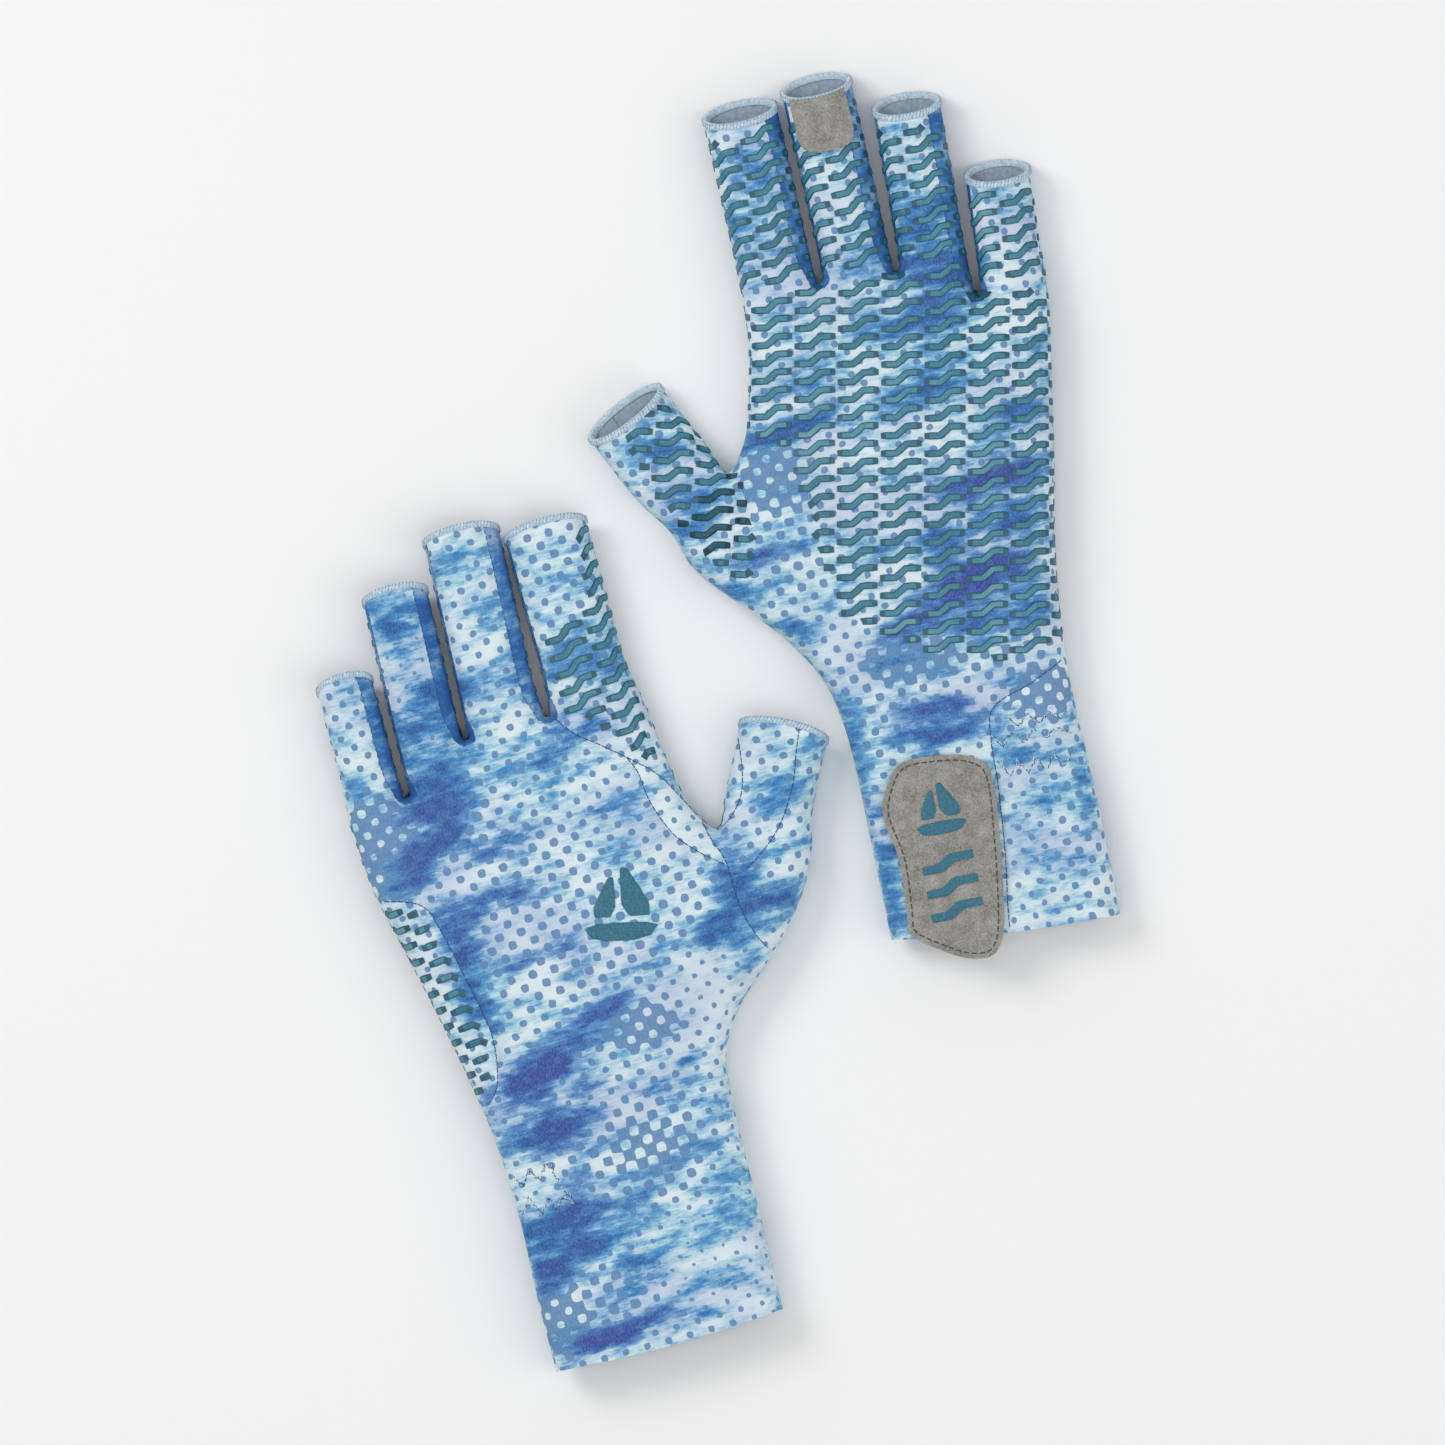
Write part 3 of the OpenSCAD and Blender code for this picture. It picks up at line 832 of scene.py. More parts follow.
PALM_DYE = [
    (-4, 63, 13, 4, -8, 1.15, 1.0), (-10, 56, 15, 4, 0, 0.85, 0.5), (16, 121, 13, 5, 5, 1.2, 1.0),
    (30, 122, 7, 4, 10, 1.0, 0.9), (8, 97, 14, 6, 10, 1.2, 1.0), (19, 96, 7, 4, 10, 0.6, 1.0),
    (-6, 87, 13, 4, 8, 0.95, 0.9), (12, 84, 13, 5, 5, 0.85, 0.6), (24, 88, 7, 7, 0, 0.7, 0.3),
    (0, 106, 15, 4, 10, 0.75, 0.5), (24, 110, 9, 5, 5, 0.9, 0.6), (8, 148, 15, 5, 5, 0.85, 0.3),
    (6, 168, 17, 6, 5, 0.8, 0.3), (18, 179, 12, 5, 0, 0.95, 0.5), (14, 171, 5, 3, 0, 0.7, 0.8),
    (30, 137, 9, 4, 0, 0.7, 0.4), (-28, 145, 13, 4, 15, 0.75, 0.3), (-41, 142, 7, 3, 10, 0.85, 0.4),
    (-28, 205, 9, 14, 0, 0.45, 0.2), (-24, 188, 8, 5, 0, 0.4, 0.3), (2, 190, 7, 6, 0, 0.6, 0.3),
    (16, 192, 8, 10, 0, 0.85, 0.3), (38, 195, 7, 6, 0, 0.4, 0.2), (-66, 146, 10, 6, 30, 0.7, 0.2),
    (-62, 128, 9, 6, 20, 0.7, 0.3), (-46, 111, 6, 3, 0, 0.85, 0.8), (-54, 104, 9, 3, -30, 0.7, 0.1),
    (-38, 90, 7, 3, -40, 0.7, 0.2), (-30, 58, 4, 15, 0, 0.7, 0.3), (-28, 18, 4, 11, 0, 0.9, 0.3),
    (-18, 76, 11, 5, 0, 0.35, 0.4), (14, 33, 10, 4, 8, 0.65, 0.2), (12, 45, 7, 4, 0, 0.6, 0.2),
    (29, 30, 3, 12, 0, 0.6, 0.2), (18, 18, 11, 9, 0, 0.35, 0.3), (26, 48, 8, 3, 0, 0.5, 0.1)]
# Each area of dots: x, y, half length, half width, and the size of its dots from 0 to 1.
BACK_DOTS = [
    (5, 52, 18, 12, 0.66), (-39, 149, 8, 11, 0.93), (16, 84, 9, 5, 0.86), (-27, 13, 6, 7, 0.93),
    (-10, 16, 10, 6, 0.62), (10, 112, 28, 14, 0.50), (16, 152, 16, 9, 0.28), (-20, 152, 10, 10, 0.62),
    (0, 198, 10, 22, 0.32), (-37, 185, 9, 14, 0.30), (31, 25, 8, 34, 0.14), (42, 92, 14, 9, 0.14),
    (66, 135, 14, 15, 0.34), (24, 213, 10, 6, 0.46), (28, 195, 8, 8, 0.42), (-18, 207, 12, 14, 0.02),
    (-18, 180, 9, 8, 0.12), (-2, 138, 12, 8, 0.50), (14, 20, 12, 12, 0.05), (-16, 40, 14, 12, 0.16),
    (-12, 66, 14, 7, 0.18), (-28, 104, 6, 16, 0.30)]
PALM_DOTS = [
    (-12, 77, 12, 5, 0.86), (-38, 132, 8, 8, 0.9), (-38, 114, 9, 12, 0.52), (-25, 64, 8, 12, 0.44),
    (23, 62, 8, 6, 0.86), (28, 20, 8, 22, 0.42), (10, 20, 9, 22, 0.22), (15, 75, 11, 5, 0.6),
    (0, 130, 20, 30, 0.3), (-30, 200, 10, 25, 0.36), (-64, 140, 14, 14, 0.4)]
REST_DOTS = 0.30


def spots(points, rows):
    """How much each soft oval weighs at each point."""
    for x, y, long, wide, turn, *more in rows:
        a = math.radians(turn)
        d = points - vec(x, y)
        u, v = d @ vec(math.cos(a), math.sin(a)) / long, d @ vec(-math.sin(a), math.cos(a)) / wide
        yield np.exp(-1.0 * (u * u + v * v) ** 1.3), more


def dye_of(face, cloth):
    """The dye's strength and hue and the size of its dots, for points on one face's pattern."""
    back = face.shows_back
    points = stretch(cloth * vec(face.glove.side if back else -face.glove.side, 1), 1 / face.grow)
    clear, violet, total = np.ones(len(points)), np.zeros(len(points)), np.full(len(points), 0.02)
    for w, (power, hue) in spots(points, BACK_DYE if back else PALM_DYE):
        clear *= 1 - np.minimum(0.9, 0.8 * w * power)
        violet += w * power * hue
        total += w * power
    size, weight = np.full(len(points), REST_DOTS), np.ones(len(points))
    rows = [(x, y, a, b, 0, h) for x, y, a, b, h in (BACK_DOTS if back else PALM_DOTS)]
    for w, (h,) in spots(points, rows):
        size += w * h * 6
        weight += w * 6
    return {"dye": 1.15 * (1 - clear), "violet": violet / total, "dots": size / weight}


# %% [markdown]
# ## Writing a material as sums
# A node tree is easier to read as arithmetic. This small class wraps a socket, so that adding or
# multiplying two of them adds the Math node that does it, and one method adds any other node.

# %% Sockets as numbers
class Number:
    """A shader socket that takes part in sums."""

    def __init__(self, tree, socket):
        self.tree, self.socket = tree, socket

    def _math(self, operation, *values):
        node = self.tree.nodes.new("ShaderNodeMath")
        node.operation = operation
        for slot, value in zip(node.inputs, values):
            if isinstance(value, Number):
                self.tree.links.new(value.socket, slot)
            else:
                slot.default_value = value
        return Number(self.tree, node.outputs[0])

    def __add__(self, other):
        return self._math("ADD", self, other)

    __radd__ = __add__

    def __sub__(self, other):
        return self._math("SUBTRACT", self, other)

    def __rsub__(self, other):
        return self._math("SUBTRACT", other, self)

    def __mul__(self, other):
        return self._math("MULTIPLY", self, other)

    __rmul__ = __mul__

    def cos(self):
        return self._math("COSINE", self)

    def clamp(self):
        return self._math("MINIMUM", self._math("MAXIMUM", self, 0.0), 1.0)

    def step(self, low, high):
        """0 below low, 1 above high, and smooth between."""
        t = ((self - low) * (1 / (high - low))).clamp()
        return t * t * (3 - 2 * t)


class Finish:
    """A material on the Principled shader."""

    def __init__(self, name, **constants):
        self.material = bpy.data.materials.new(name)
        self.material.use_nodes = True
        self.tree = self.material.node_tree
        self.surface = self.tree.nodes["Principled BSDF"]
        for key, value in constants.items():
            self.surface.inputs[key.replace("_", " ").title().replace("Ior", "IOR")].default_value = value

    def add(self, kind, settings=None, inputs=None, out=0):
        """Adds a node and gives one of its outputs."""
        node = self.tree.nodes.new(kind)
        for key, value in (settings or {}).items():
            setattr(node, key, value)
        for key, value in (inputs or {}).items():
            if isinstance(value, Number):
                self.tree.links.new(value.socket, node.inputs[key])
            else:
                node.inputs[key].default_value = value
        return Number(self.tree, node.outputs[out])

    def noise(self, place, scale, detail=3.0, rough=0.55):
        return self.add("ShaderNodeTexNoise", None, {"Vector": place, "Scale": scale, "Detail": detail,
                                                     "Roughness": rough})

    def ramp(self, value, stops):
        """A colour ramp from (position, colour) stops."""
        node = self.tree.nodes.new("ShaderNodeValToRGB")
        band = node.color_ramp
        while len(band.elements) < len(stops):
            band.elements.new(0.5)
        for element, (at, shade_) in zip(band.elements, stops):
            element.position = at
            element.color = colour(shade_)
        self.tree.links.new(value.socket, node.inputs[0])
        return Number(self.tree, node.outputs[0])

    def mix(self, share, a, b, blend="MIX"):
        """Mixes two colours, each a socket or a written colour."""
        node = self.tree.nodes.new("ShaderNodeMix")
        node.data_type, node.blend_type = "RGBA", blend
        for slot, value in ((0, share), (6, a), (7, b)):
            if isinstance(value, Number):
                self.tree.links.new(value.socket, node.inputs[slot])
            else:
                node.inputs[slot].default_value = colour(value) if isinstance(value, str) else value
        return Number(self.tree, node.outputs[2])

    def set(self, name, value):
        self.tree.links.new(value.socket, self.surface.inputs[name])

    def bump(self, height, strength, distance):
        """Bump with its distance in millimetres."""
        self.set("Normal", self.add("ShaderNodeBump", None, {"Height": height, "Strength": strength,
                                                            "Distance": distance * MM}))


def colour(code):
    """A written colour such as 2F7A92, as the shader wants it."""
    parts = [int(code[i: i + 2], 16) / 255 for i in (0, 2, 4)]
    return (*[c / 12.92 if c <= 0.04045 else ((c + 0.055) / 1.055) ** 2.4 for c in parts], 1.0)


# %% [markdown]
# ## The printed knit
# The cloth is a thin, matt jersey, pale under a brushed and blotted dye. The strokes laid on its
# points give the big shapes, streaky noise along the rows of the knit breaks them up, and dots
# stand on a diagonal grid. Each dot is where two waves add to more than a limit, and the limit
# falls where dots are big, until they touch and turn into a net with pale holes.

# %% Printed knit
CLOTH_UNIT = 100
DOT_APART = 6.0
WALE = 0.62
COURSE = 0.9
DEPTHS = [0.0, 0.18, 0.34, 0.50, 0.68, 0.90]
AZURE = ["DBEAEF", "C6DFE9", "9CC8DE", "60A2CE", "337FBC", "225C9E"]
DEEP = ["DAE6EF", "C2D6E6", "9BBCDA", "6994C8", "4172B6", "364A9C"]


def around(noise, amount):
    """Noise from 0 to 1, made to swing about zero."""
    return (noise - 0.5) * amount


def printed_knit(name, seed=0.0, extra_dye_and_shade=0.0, dot_scale=1.0, shadow=None):
    """The printed cloth. Its added darkness is deeper dye, and on the side strips painted shade as well;
    shadow is a colour of painted shade laid over it.
    """
    f = Finish(name, roughness=0.86, specular_ior_level=0.25)
    uv = f.add("ShaderNodeUVMap", {"uv_map": "cloth"})
    cut = f.add("ShaderNodeSeparateXYZ", None, {"Vector": uv})
    x, y = cut * CLOTH_UNIT, Number(f.tree, cut.socket.node.outputs[1]) * CLOTH_UNIT

    def cloudy(across, along, shift=0.0, detail=2.0, rough=0.55):
        """Noise on the cloth, finer the larger across and along are."""
        place = f.add("ShaderNodeCombineXYZ", None, {"X": x * across, "Y": y * along, "Z": shift + seed})
        return f.noise(place, 1.0, detail, rough)

    dye, violet, dots = (f.add("ShaderNodeAttribute", {"attribute_name": key}, out=2)
                         for key in ("dye", "violet", "dots"))
    cloud = cloudy(0.045, 0.085, 0.0, 4.0, 0.6)
    streak = cloudy(0.065, 0.19, 3.0, 5.0, 0.66)
    blot = cloudy(0.16, 0.34, 13.0, 4.0, 0.62)
    fibre = cloudy(0.22, 1.5, 7.0, 3.0, 0.6)
    tone = dye * 0.68 + around(streak, 1.8) + around(blot, 0.9) + around(fibre, 0.45)
    # The added darkness is deeper dye, and on the side strips painted shade of the recess as well.
    tone = tone + around(cloud, 1.5) + (0.23 + extra_dye_and_shade)
    azure, deep = (f.ramp(tone, list(zip(DEPTHS, colours))) for colours in (AZURE, DEEP))
    haze = cloudy(0.028, 0.04, 17.0)
    base = f.mix((violet * 1.1 + around(cloud, 1.2) - 0.3).clamp(), azure, deep)
    base = f.mix(haze.step(0.46, 0.66) * (0.55 - 0.55 * tone.step(0.35, 0.65)), base, "B9C4E0")
    off = around(cloudy(0.5, 0.5, 11.0), 0.9)
    k = math.tau / DOT_APART
    u, v = x + off, y - off
    wave = ((u + v) * k).cos() + ((u - v) * k).cos()
    drift = cloudy(0.11, 0.16, 5.0)
    limit = 2.02 - 3.5 * (dots * dot_scale + around(drift, 0.16))
    limit = limit * 0.85 + around(limit.step(-0.12, 0.12), 0.6)
    dot = (wave - limit).step(-0.16, 0.16)
    ink = f.mix((drift * 1.6 - 0.3).clamp(), "4A84B0", "6685B6")
    printed = f.mix(dot * (0.92 - 0.70 * tone.step(0.42, 0.85)), base, ink)
    grain = cloudy(2.6, 1.1, 2.0)
    wale = (x * (math.tau / WALE)).cos() * (y * (math.tau / COURSE)).cos()
    shaded = f.mix((around(grain, 0.3) + 0.03).clamp(), printed, "F4F8FA")
    # On the side strips a blue of painted shade is laid over the print.
    if shadow:
        shaded = f.mix(0.45, shaded, shadow)
    f.set("Base Color", shaded)
    f.bump(grain * 0.6 + wale * 0.25, 0.35, 0.12)
    return f.material


MATERIALS = {
    "knit": printed_knit("printed_knit"),
    "pale_knit": printed_knit("pale_knit", 4.0, -0.16, 0.8),
    # The side strips between the fingers are darker and get a blue laid over: partly a deeper dye, partly
    # painted shade of the recess between the fingers.
    "side_knit": printed_knit("side_knit", 9.0, 0.30, 0.5, "2458A0"),
    "wrap_knit": printed_knit("wrap_knit", 2.0, -0.02),
    "thumb_knit": printed_knit("thumb_knit", 6.0, 0.0),
}

# %% [markdown]
# ## The plain finishes
# Lining, threads, edging, elastic and raised print each have a colour that follows a fine noise.
# Silicone and suede get a little more: silicone has pale specks, a painted highlight for the glints
# of its gloss, and suede is cloudy, with a short nap that catches the light.

# %% Plain finishes
OBJECT_PLACE = 3


def speckled(name, scale, stops, detail=3.0, bump=None, **constants):
    """A finish whose colour follows a fine noise. bump is its strength and its depth in mm."""
    f = Finish(name, **constants)
    fleck = f.noise(f.add("ShaderNodeTexCoord", out=OBJECT_PLACE), scale, detail)
    f.set("Base Color", f.ramp(fleck, stops))
    if bump:
        f.bump(fleck, *bump)
    return f.material


def thread_finish(name, dark, light):
    """A twisted thread."""
    stops = [(0.35, dark), (0.65, light)]
    return speckled(name, 2600.0, stops, 2.0, roughness=0.6, specular_ior_level=0.35)


def silicone(name):
    f = Finish(name, specular_ior_level=0.5)
    place = f.add("ShaderNodeTexCoord", out=OBJECT_PLACE)
    speck, patchy = f.noise(place, 1500.0, 2.0), f.noise(place, 45.0, 2.0)
    tint = f.ramp(patchy, [(0.38, "2C7187"), (0.60, "3A879C"), (0.74, "6E9CA8")])
    # The pale specks in the colour are painted highlight, the glints of the glossy silicone; the same noise
    # also varies its roughness and bump.
    f.set("Base Color", f.mix(speck.step(0.5, 0.75) * 0.22, tint, "A9C0C6"))
    f.set("Roughness", 0.34 + 0.25 * speck)
    f.bump(speck, 0.25, 0.08)
    return f.material


def suede(name):
    f = Finish(name, roughness=0.95, specular_ior_level=0.15, sheen_weight=0.25, sheen_roughness=0.6)
    place = f.add("ShaderNodeTexCoord", out=OBJECT_PLACE)
    nap, cloud = f.noise(place, 1900.0, 3.0, 0.7), f.noise(place, 260.0, 3.0)
    tone = nap * 0.65 + cloud * 0.35
    stops = [(0.30, "63625D"), (0.46, "8A8882"), (0.60, "A3A19B"), (0.74, "BEBCB7")]
    f.set("Base Color", f.ramp(tone, stops))
    f.bump(nap, 0.6, 0.2)
    return f.material


MATERIALS.update({
    "lining": speckled("lining", 900.0, [(0.3, "8FA3B8"), (0.7, "B7C4D2")], bump=(0.3, 0.1),
                       roughness=0.9, specular_ior_level=0.2),
    "grip": silicone("silicone_grip"),
    "grip_edge": speckled("silicone_edge", 700.0, [(0.3, "1D4C60"), (0.7, "29637A")], roughness=0.45),
    "edging": speckled("edging_cloth", 1300.0, [(0.3, "9FB9CC"), (0.55, "C3D7E3"), (0.75, "DDE9EF")],
                       bump=(0.4, 0.12), roughness=0.85, specular_ior_level=0.2),
    "overlock": thread_finish("overlock_thread", "5E86A2", "9DBACB"),
    "dark_thread": thread_finish("dark_thread", "1F3F6A", "4A6FA0"),
    "pale_thread": thread_finish("pale_thread", "B9C9D6", "EEF3F6"),
    "grey_thread": thread_finish("grey_thread", "3F4042", "6A6B6C"),
    "suede": suede("grey_suede"),
    "print": speckled("raised_print", 1700.0, [(0.3, "1F5A72"), (0.6, "2E7188"), (0.78, "4A8899")], 2.0,
                      (0.3, 0.08), roughness=0.55),
    "elastic": speckled("woven_elastic", 800.0, [(0.3, "C9CED2"), (0.7, "E6E9EA")], roughness=0.8),
})
KNIT_OF = {"gusset": "pale_knit", "ulnar_side": "pale_knit", "index_wrap": "wrap_knit",
           "index_wrap_root": "wrap_knit", "cuff_wrap": "wrap_knit", "gap_ends": "side_knit"}
print("materials:", sorted(MATERIALS))


def knit_of(name):
    """The printed cloth that a piece is cut from."""
    if name.endswith("_sides"):
        return "side_knit"
    if name.startswith("thumb_") and name != "thumb_palm":
        return "thumb_knit"
    return KNIT_OF.get(name, "knit")


# %% [markdown]
# ## From triangles to pieces
# A piece that lies wholly on the hand rides the hand. A piece of a finger keeps its place, with its
# transform baked into its points.

# %% Pieces of cloth
CLOTH = 0.7
WELD = 0.02
SMOOTH_TO = 50
PIECES = {}
CUTS = {}


def mesh_object(name, points, faces, uv=None, values=None):
    """A new object from points in metres and lists of corners, with its pattern and its dye."""
    mesh = bpy.data.meshes.new(name)
    mesh.from_pydata([tuple(p) for p in points], [], [tuple(int(i) for i in f) for f in faces])
    obj = bpy.data.objects.new(name, mesh)
    bpy.context.scene.collection.objects.link(obj)
    if uv is not None:
        layer = mesh.uv_layers.new(name="cloth")
        corners = np.array([loop.vertex_index for loop in mesh.loops])
        layer.data.foreach_set("uv", np.asarray(uv, np.float32)[corners].ravel())
    for key, numbers in (values or {}).items():
        layer = mesh.attributes.new(key, "FLOAT", "POINT")
        layer.data.foreach_set("value", np.asarray(numbers, np.float32))
    return obj


def select(*objects):
    """Selects these objects alone, the first one active."""
    bpy.ops.object.select_all(action="DESELECT")
    for obj in objects:
        obj.select_set(True)
    bpy.context.view_layer.objects.active = objects[0]


def shade(obj, degrees=45):
    select(obj)
    bpy.ops.object.shade_smooth_by_angle(angle=math.radians(degrees))


def thicken(obj, thickness, inside_slot=None):
    """Gives a sheet its thickness on the side away from its normals."""
    select(obj)
    bpy.ops.object.modifier_add(type="SOLIDIFY")
    solid = obj.modifiers[-1]
    solid.thickness = thickness * MM
    solid.offset = -1
    if inside_slot:
        solid.material_offset = inside_slot
    bpy.ops.object.modifier_apply(modifier=solid.name)


def used_only(points, tris, *more):
    """Keeps only the points that some triangle uses."""
    keep, flat = np.unique(tris, return_inverse=True)
    return points[keep], flat.reshape(-1, 3), *[m[keep] for m in more]


def piece_name(owner, panel):
    """The piece that a triangle belongs to."""
    if panel == "strip":
        return "gap_ends" if owner == "hand" else f"{owner}_sides"
    if owner == "hand":
        return {"index_wrap": "index_wrap_root", "thumb_inner": "thumb_back"}.get(panel, panel)
    if owner == "thumb":
        sleeve = {"palm_panel": "thumb_palm", "thumb_outer": "thumb_sleeve_outer"}
        return sleeve.get(panel, "thumb_sleeve_back")
    if panel == "index_wrap":
        return "index_wrap"
    return f"{owner}_{panel.split('_')[0]}"


def separate(tris, count):
    """A number for each triangle, the same for those that hang together."""
    label = np.arange(count)
    while True:
        low = label[tris].min(1)
        before = label.copy()
        np.minimum.at(label, tris, low[:, None])
        if (label == before).all():
            return label[tris[:, 0]]


def box_round(points):
    """The short and long side of the smallest rectangle that a flat cut fits in."""
    best = None
    for a in np.radians(np.arange(0, 90, 3)):
        q = points @ np.array([[math.cos(a), -math.sin(a)], [math.sin(a), math.cos(a)]])
        sides = q.max(0) - q.min(0)
        if best is None or sides.prod() < best.prod():
            best = sides
    return sorted(best)


def cut_size(parts):
    """The width and length, in mm, of a piece's flat cuts laid side by side, and their area."""
    wide, long, area = 0.0, 0.0, 0.0
    for points, tris in parts:
        a, b, c = (points[tris[:, k]] for k in range(3))
        area += abs(np.cross(b - a, c - a)).sum() / 2
        which = separate(tris, len(points))
        for label in np.unique(which):
            short, tall = box_round(points[np.unique(tris[which == label])])
            wide, long = wide + short, max(long, tall)
    return wide, long, area


def groups(glove):
    """Every piece of a glove: its points, triangles, pattern, dye and owner, from both faces."""
    found = {}
    for upper in (True, False):
        pattern = PATTERNS[glove.name, upper]
        dye = dye_of(pattern.face, pattern.pattern)
        cloth = pattern.pattern / CLOTH_UNIT + vec(0, 0 if upper else 3)
        names = np.array([piece_name(o, p) for o, p in zip(pattern.owner, pattern.panel)])
        for name in np.unique(names):
            mine = names == name
            part = used_only(pattern.points, pattern.tris[mine], cloth, *dye.values())
            found.setdefault(name, (pattern.owner[mine][0], []))[1].append(part)
    for name, (owner, parts) in found.items():
        shifts = np.cumsum([0] + [len(part[0]) for part in parts])
        tris = np.vstack([part[1] + shift for part, shift in zip(parts, shifts)])
        points, uv = (np.vstack([part[k] for part in parts]) for k in (0, 2))
        values = {key: np.concatenate([part[3 + k] for part in parts]) for k, key in enumerate(dye)}
        CUTS[glove.name, name] = cut_size([(part[2] * CLOTH_UNIT, part[1]) for part in parts])
        yield name, owner, points, tris, uv, values


def attach(obj, glove, finger_name):
    """Makes a piece ride the hand or the tab; a finger's piece only has its transform baked into its
    points.
    """
    if finger_name in ("hand", "tab"):
        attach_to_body(obj, f"{finger_name}_{glove.name}")
        return
    finger = glove.finger[finger_name]
    start = root_of(glove, finger)
    tuple(glove.world([*finger.at(0, start), finger.z])[0])
    tuple(glove.world([*finger.at(0, start + BEND_LENGTH), finger.z])[0])
    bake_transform(obj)


for glove in GLOVES:
    for name, owner, points, tris, uv, values in groups(glove):
        obj = mesh_object(f"{name}_{glove.name}", glove.world(points), tris, uv, values)
        select(obj)
        bpy.ops.object.mode_set(mode="EDIT")
        bpy.ops.mesh.select_all(action="SELECT")
        bpy.ops.mesh.remove_doubles(threshold=WELD * MM)
        bpy.ops.object.mode_set(mode="OBJECT")
        obj.data.materials.append(MATERIALS[knit_of(name)])
        obj.data.materials.append(MATERIALS["lining"])
        thicken(obj, CLOTH, 1)
        shade(obj)
        PIECES[glove.name, name] = obj
        attach(obj, glove, owner)
    print(glove.name, "pieces:", sorted(n for g, n in PIECES if g == glove.name))

# %% [markdown]
# ## Laying things on the cloth
# The grip, the stitches and the prints follow the cloth wherever it curves. Each is drawn flat, on
# the pattern, and every point is looked up among the pattern's triangles and carried to the same
# spot of the same triangle on the lifted cloth.

# %% Finding the cloth's surface
SKIN_SPARE = 1
SKIN_BACK = 22


def vertex_normals(points, tris):
    """Outward normals at each point, the mean of the triangles around it."""
    a, b, c = (points[tris[:, k]] for k in range(3))
    face = np.cross(b - a, c - a)
    normals = np.zeros_like(points)
    for k in range(3):
        np.add.at(normals, tris[:, k], face)
    return unit(normals)


class Skin:
    """The part of one face of a glove that belongs to one finger, or to the hand."""

    def __init__(self, pattern, owner="hand"):
        self.pattern, self.owner = pattern, owner
        keep = pattern.owner == owner
        if owner != "hand":
            finger = pattern.glove.finger[owner]
            centre = pattern.flat[pattern.tris].mean(1) - finger.hinge
            near = np.abs(centre @ finger.across) < finger.half + SKIN_SPARE
            near &= centre @ finger.along > -SKIN_BACK
            keep |= near & (pattern.owner == "hand")
        self.tris = pattern.tris[keep]
        self.cloth = [Vector((*p, 0)) for p in pattern.pattern]
        self.points = [Vector(p) for p in pattern.points]
        self.normals = [Vector(n) for n in vertex_normals(pattern.points, pattern.tris)]
        self.tree = BVHTree.FromPolygons(self.cloth, self.tris.tolist())

    def at(self, x, y, height, reach=0.25):
        """The point that is height above the cloth at this place of the pattern, or None off it."""
        place, _, tri, gap = self.tree.find_nearest((x, y, 0))
        if tri is None or gap > reach:
            return None
        corners = self.tris[tri]
        flat = [self.cloth[i] for i in corners]
        point = barycentric_transform(place, *flat, *[self.points[i] for i in corners])
        normal = barycentric_transform(place, *flat, *[self.normals[i] for i in corners])
        return point + normal.normalized() * height


SKINS = {(g.name, upper, owner): Skin(PATTERNS[g.name, upper], owner)
         for g in GLOVES for upper in (True, False) for owner in ["hand", *FINGERS]}


class Heap:
    """Collects small shapes that go into one mesh."""

    def __init__(self):
        self.points, self.faces, self.slots = [], [], []

    def add(self, points, faces, slots=None):
        start = len(self.points)
        self.points += [tuple(p) for p in points]
        self.faces += [tuple(start + i for i in f) for f in faces]
        self.slots += list(slots) if slots is not None else [0] * len(faces)

    def build(self, name, glove, owner, *kinds):
        """Makes the mesh, gives it its materials and hangs it on its part of the glove when that is the
        hand or the tab.
        """
        obj = mesh_object(f"{name}_{glove.name}", glove.world(self.points), self.faces)
        for kind in kinds:
            obj.data.materials.append(MATERIALS[kind])
        obj.data.polygons.foreach_set("material_index", self.slots)
        shade(obj, SMOOTH_TO)
        attach(obj, glove, owner)
        PIECES[glove.name, name] = obj


# %% [markdown]
# ## The silicone grip
# Rows of raised silicone bars cover the palm. Every bar is a flat step, low at its left end and
# high at its right, and the columns stand side by side. A bar is a short strip of cross-sections,
# laid on the cloth point by point, so that it bends with it. Bars are cut off where the printed
# area ends.

# %% Grip bars
BAR_LONG, BAR_WIDE, BAR_HIGH = 11.0, 2.0, 0.32
BAR_RISE = 2.5
BAR_END = 0.8
COLUMN, ROW = 11.75, 4.8
STATIONS = np.linspace(0, 1, 9)
SECTION = [(-1.0, -0.15), (-0.92, 0.8), (-0.62, 1.0), (0.62, 1.0), (0.92, 0.8), (1.0, -0.15)]


def bar_line(t):
    """The height of a bar's middle line, t from 0 to 1 along it."""
    return BAR_RISE * (smooth((t - 0.36) / 0.30) - 0.5) + 0.35 * (t - 0.5)


def turned(angle):
    """Two axes, along and across, at an angle."""
    return np.array([[math.cos(angle), math.sin(angle)], [-math.sin(angle), math.cos(angle)]])


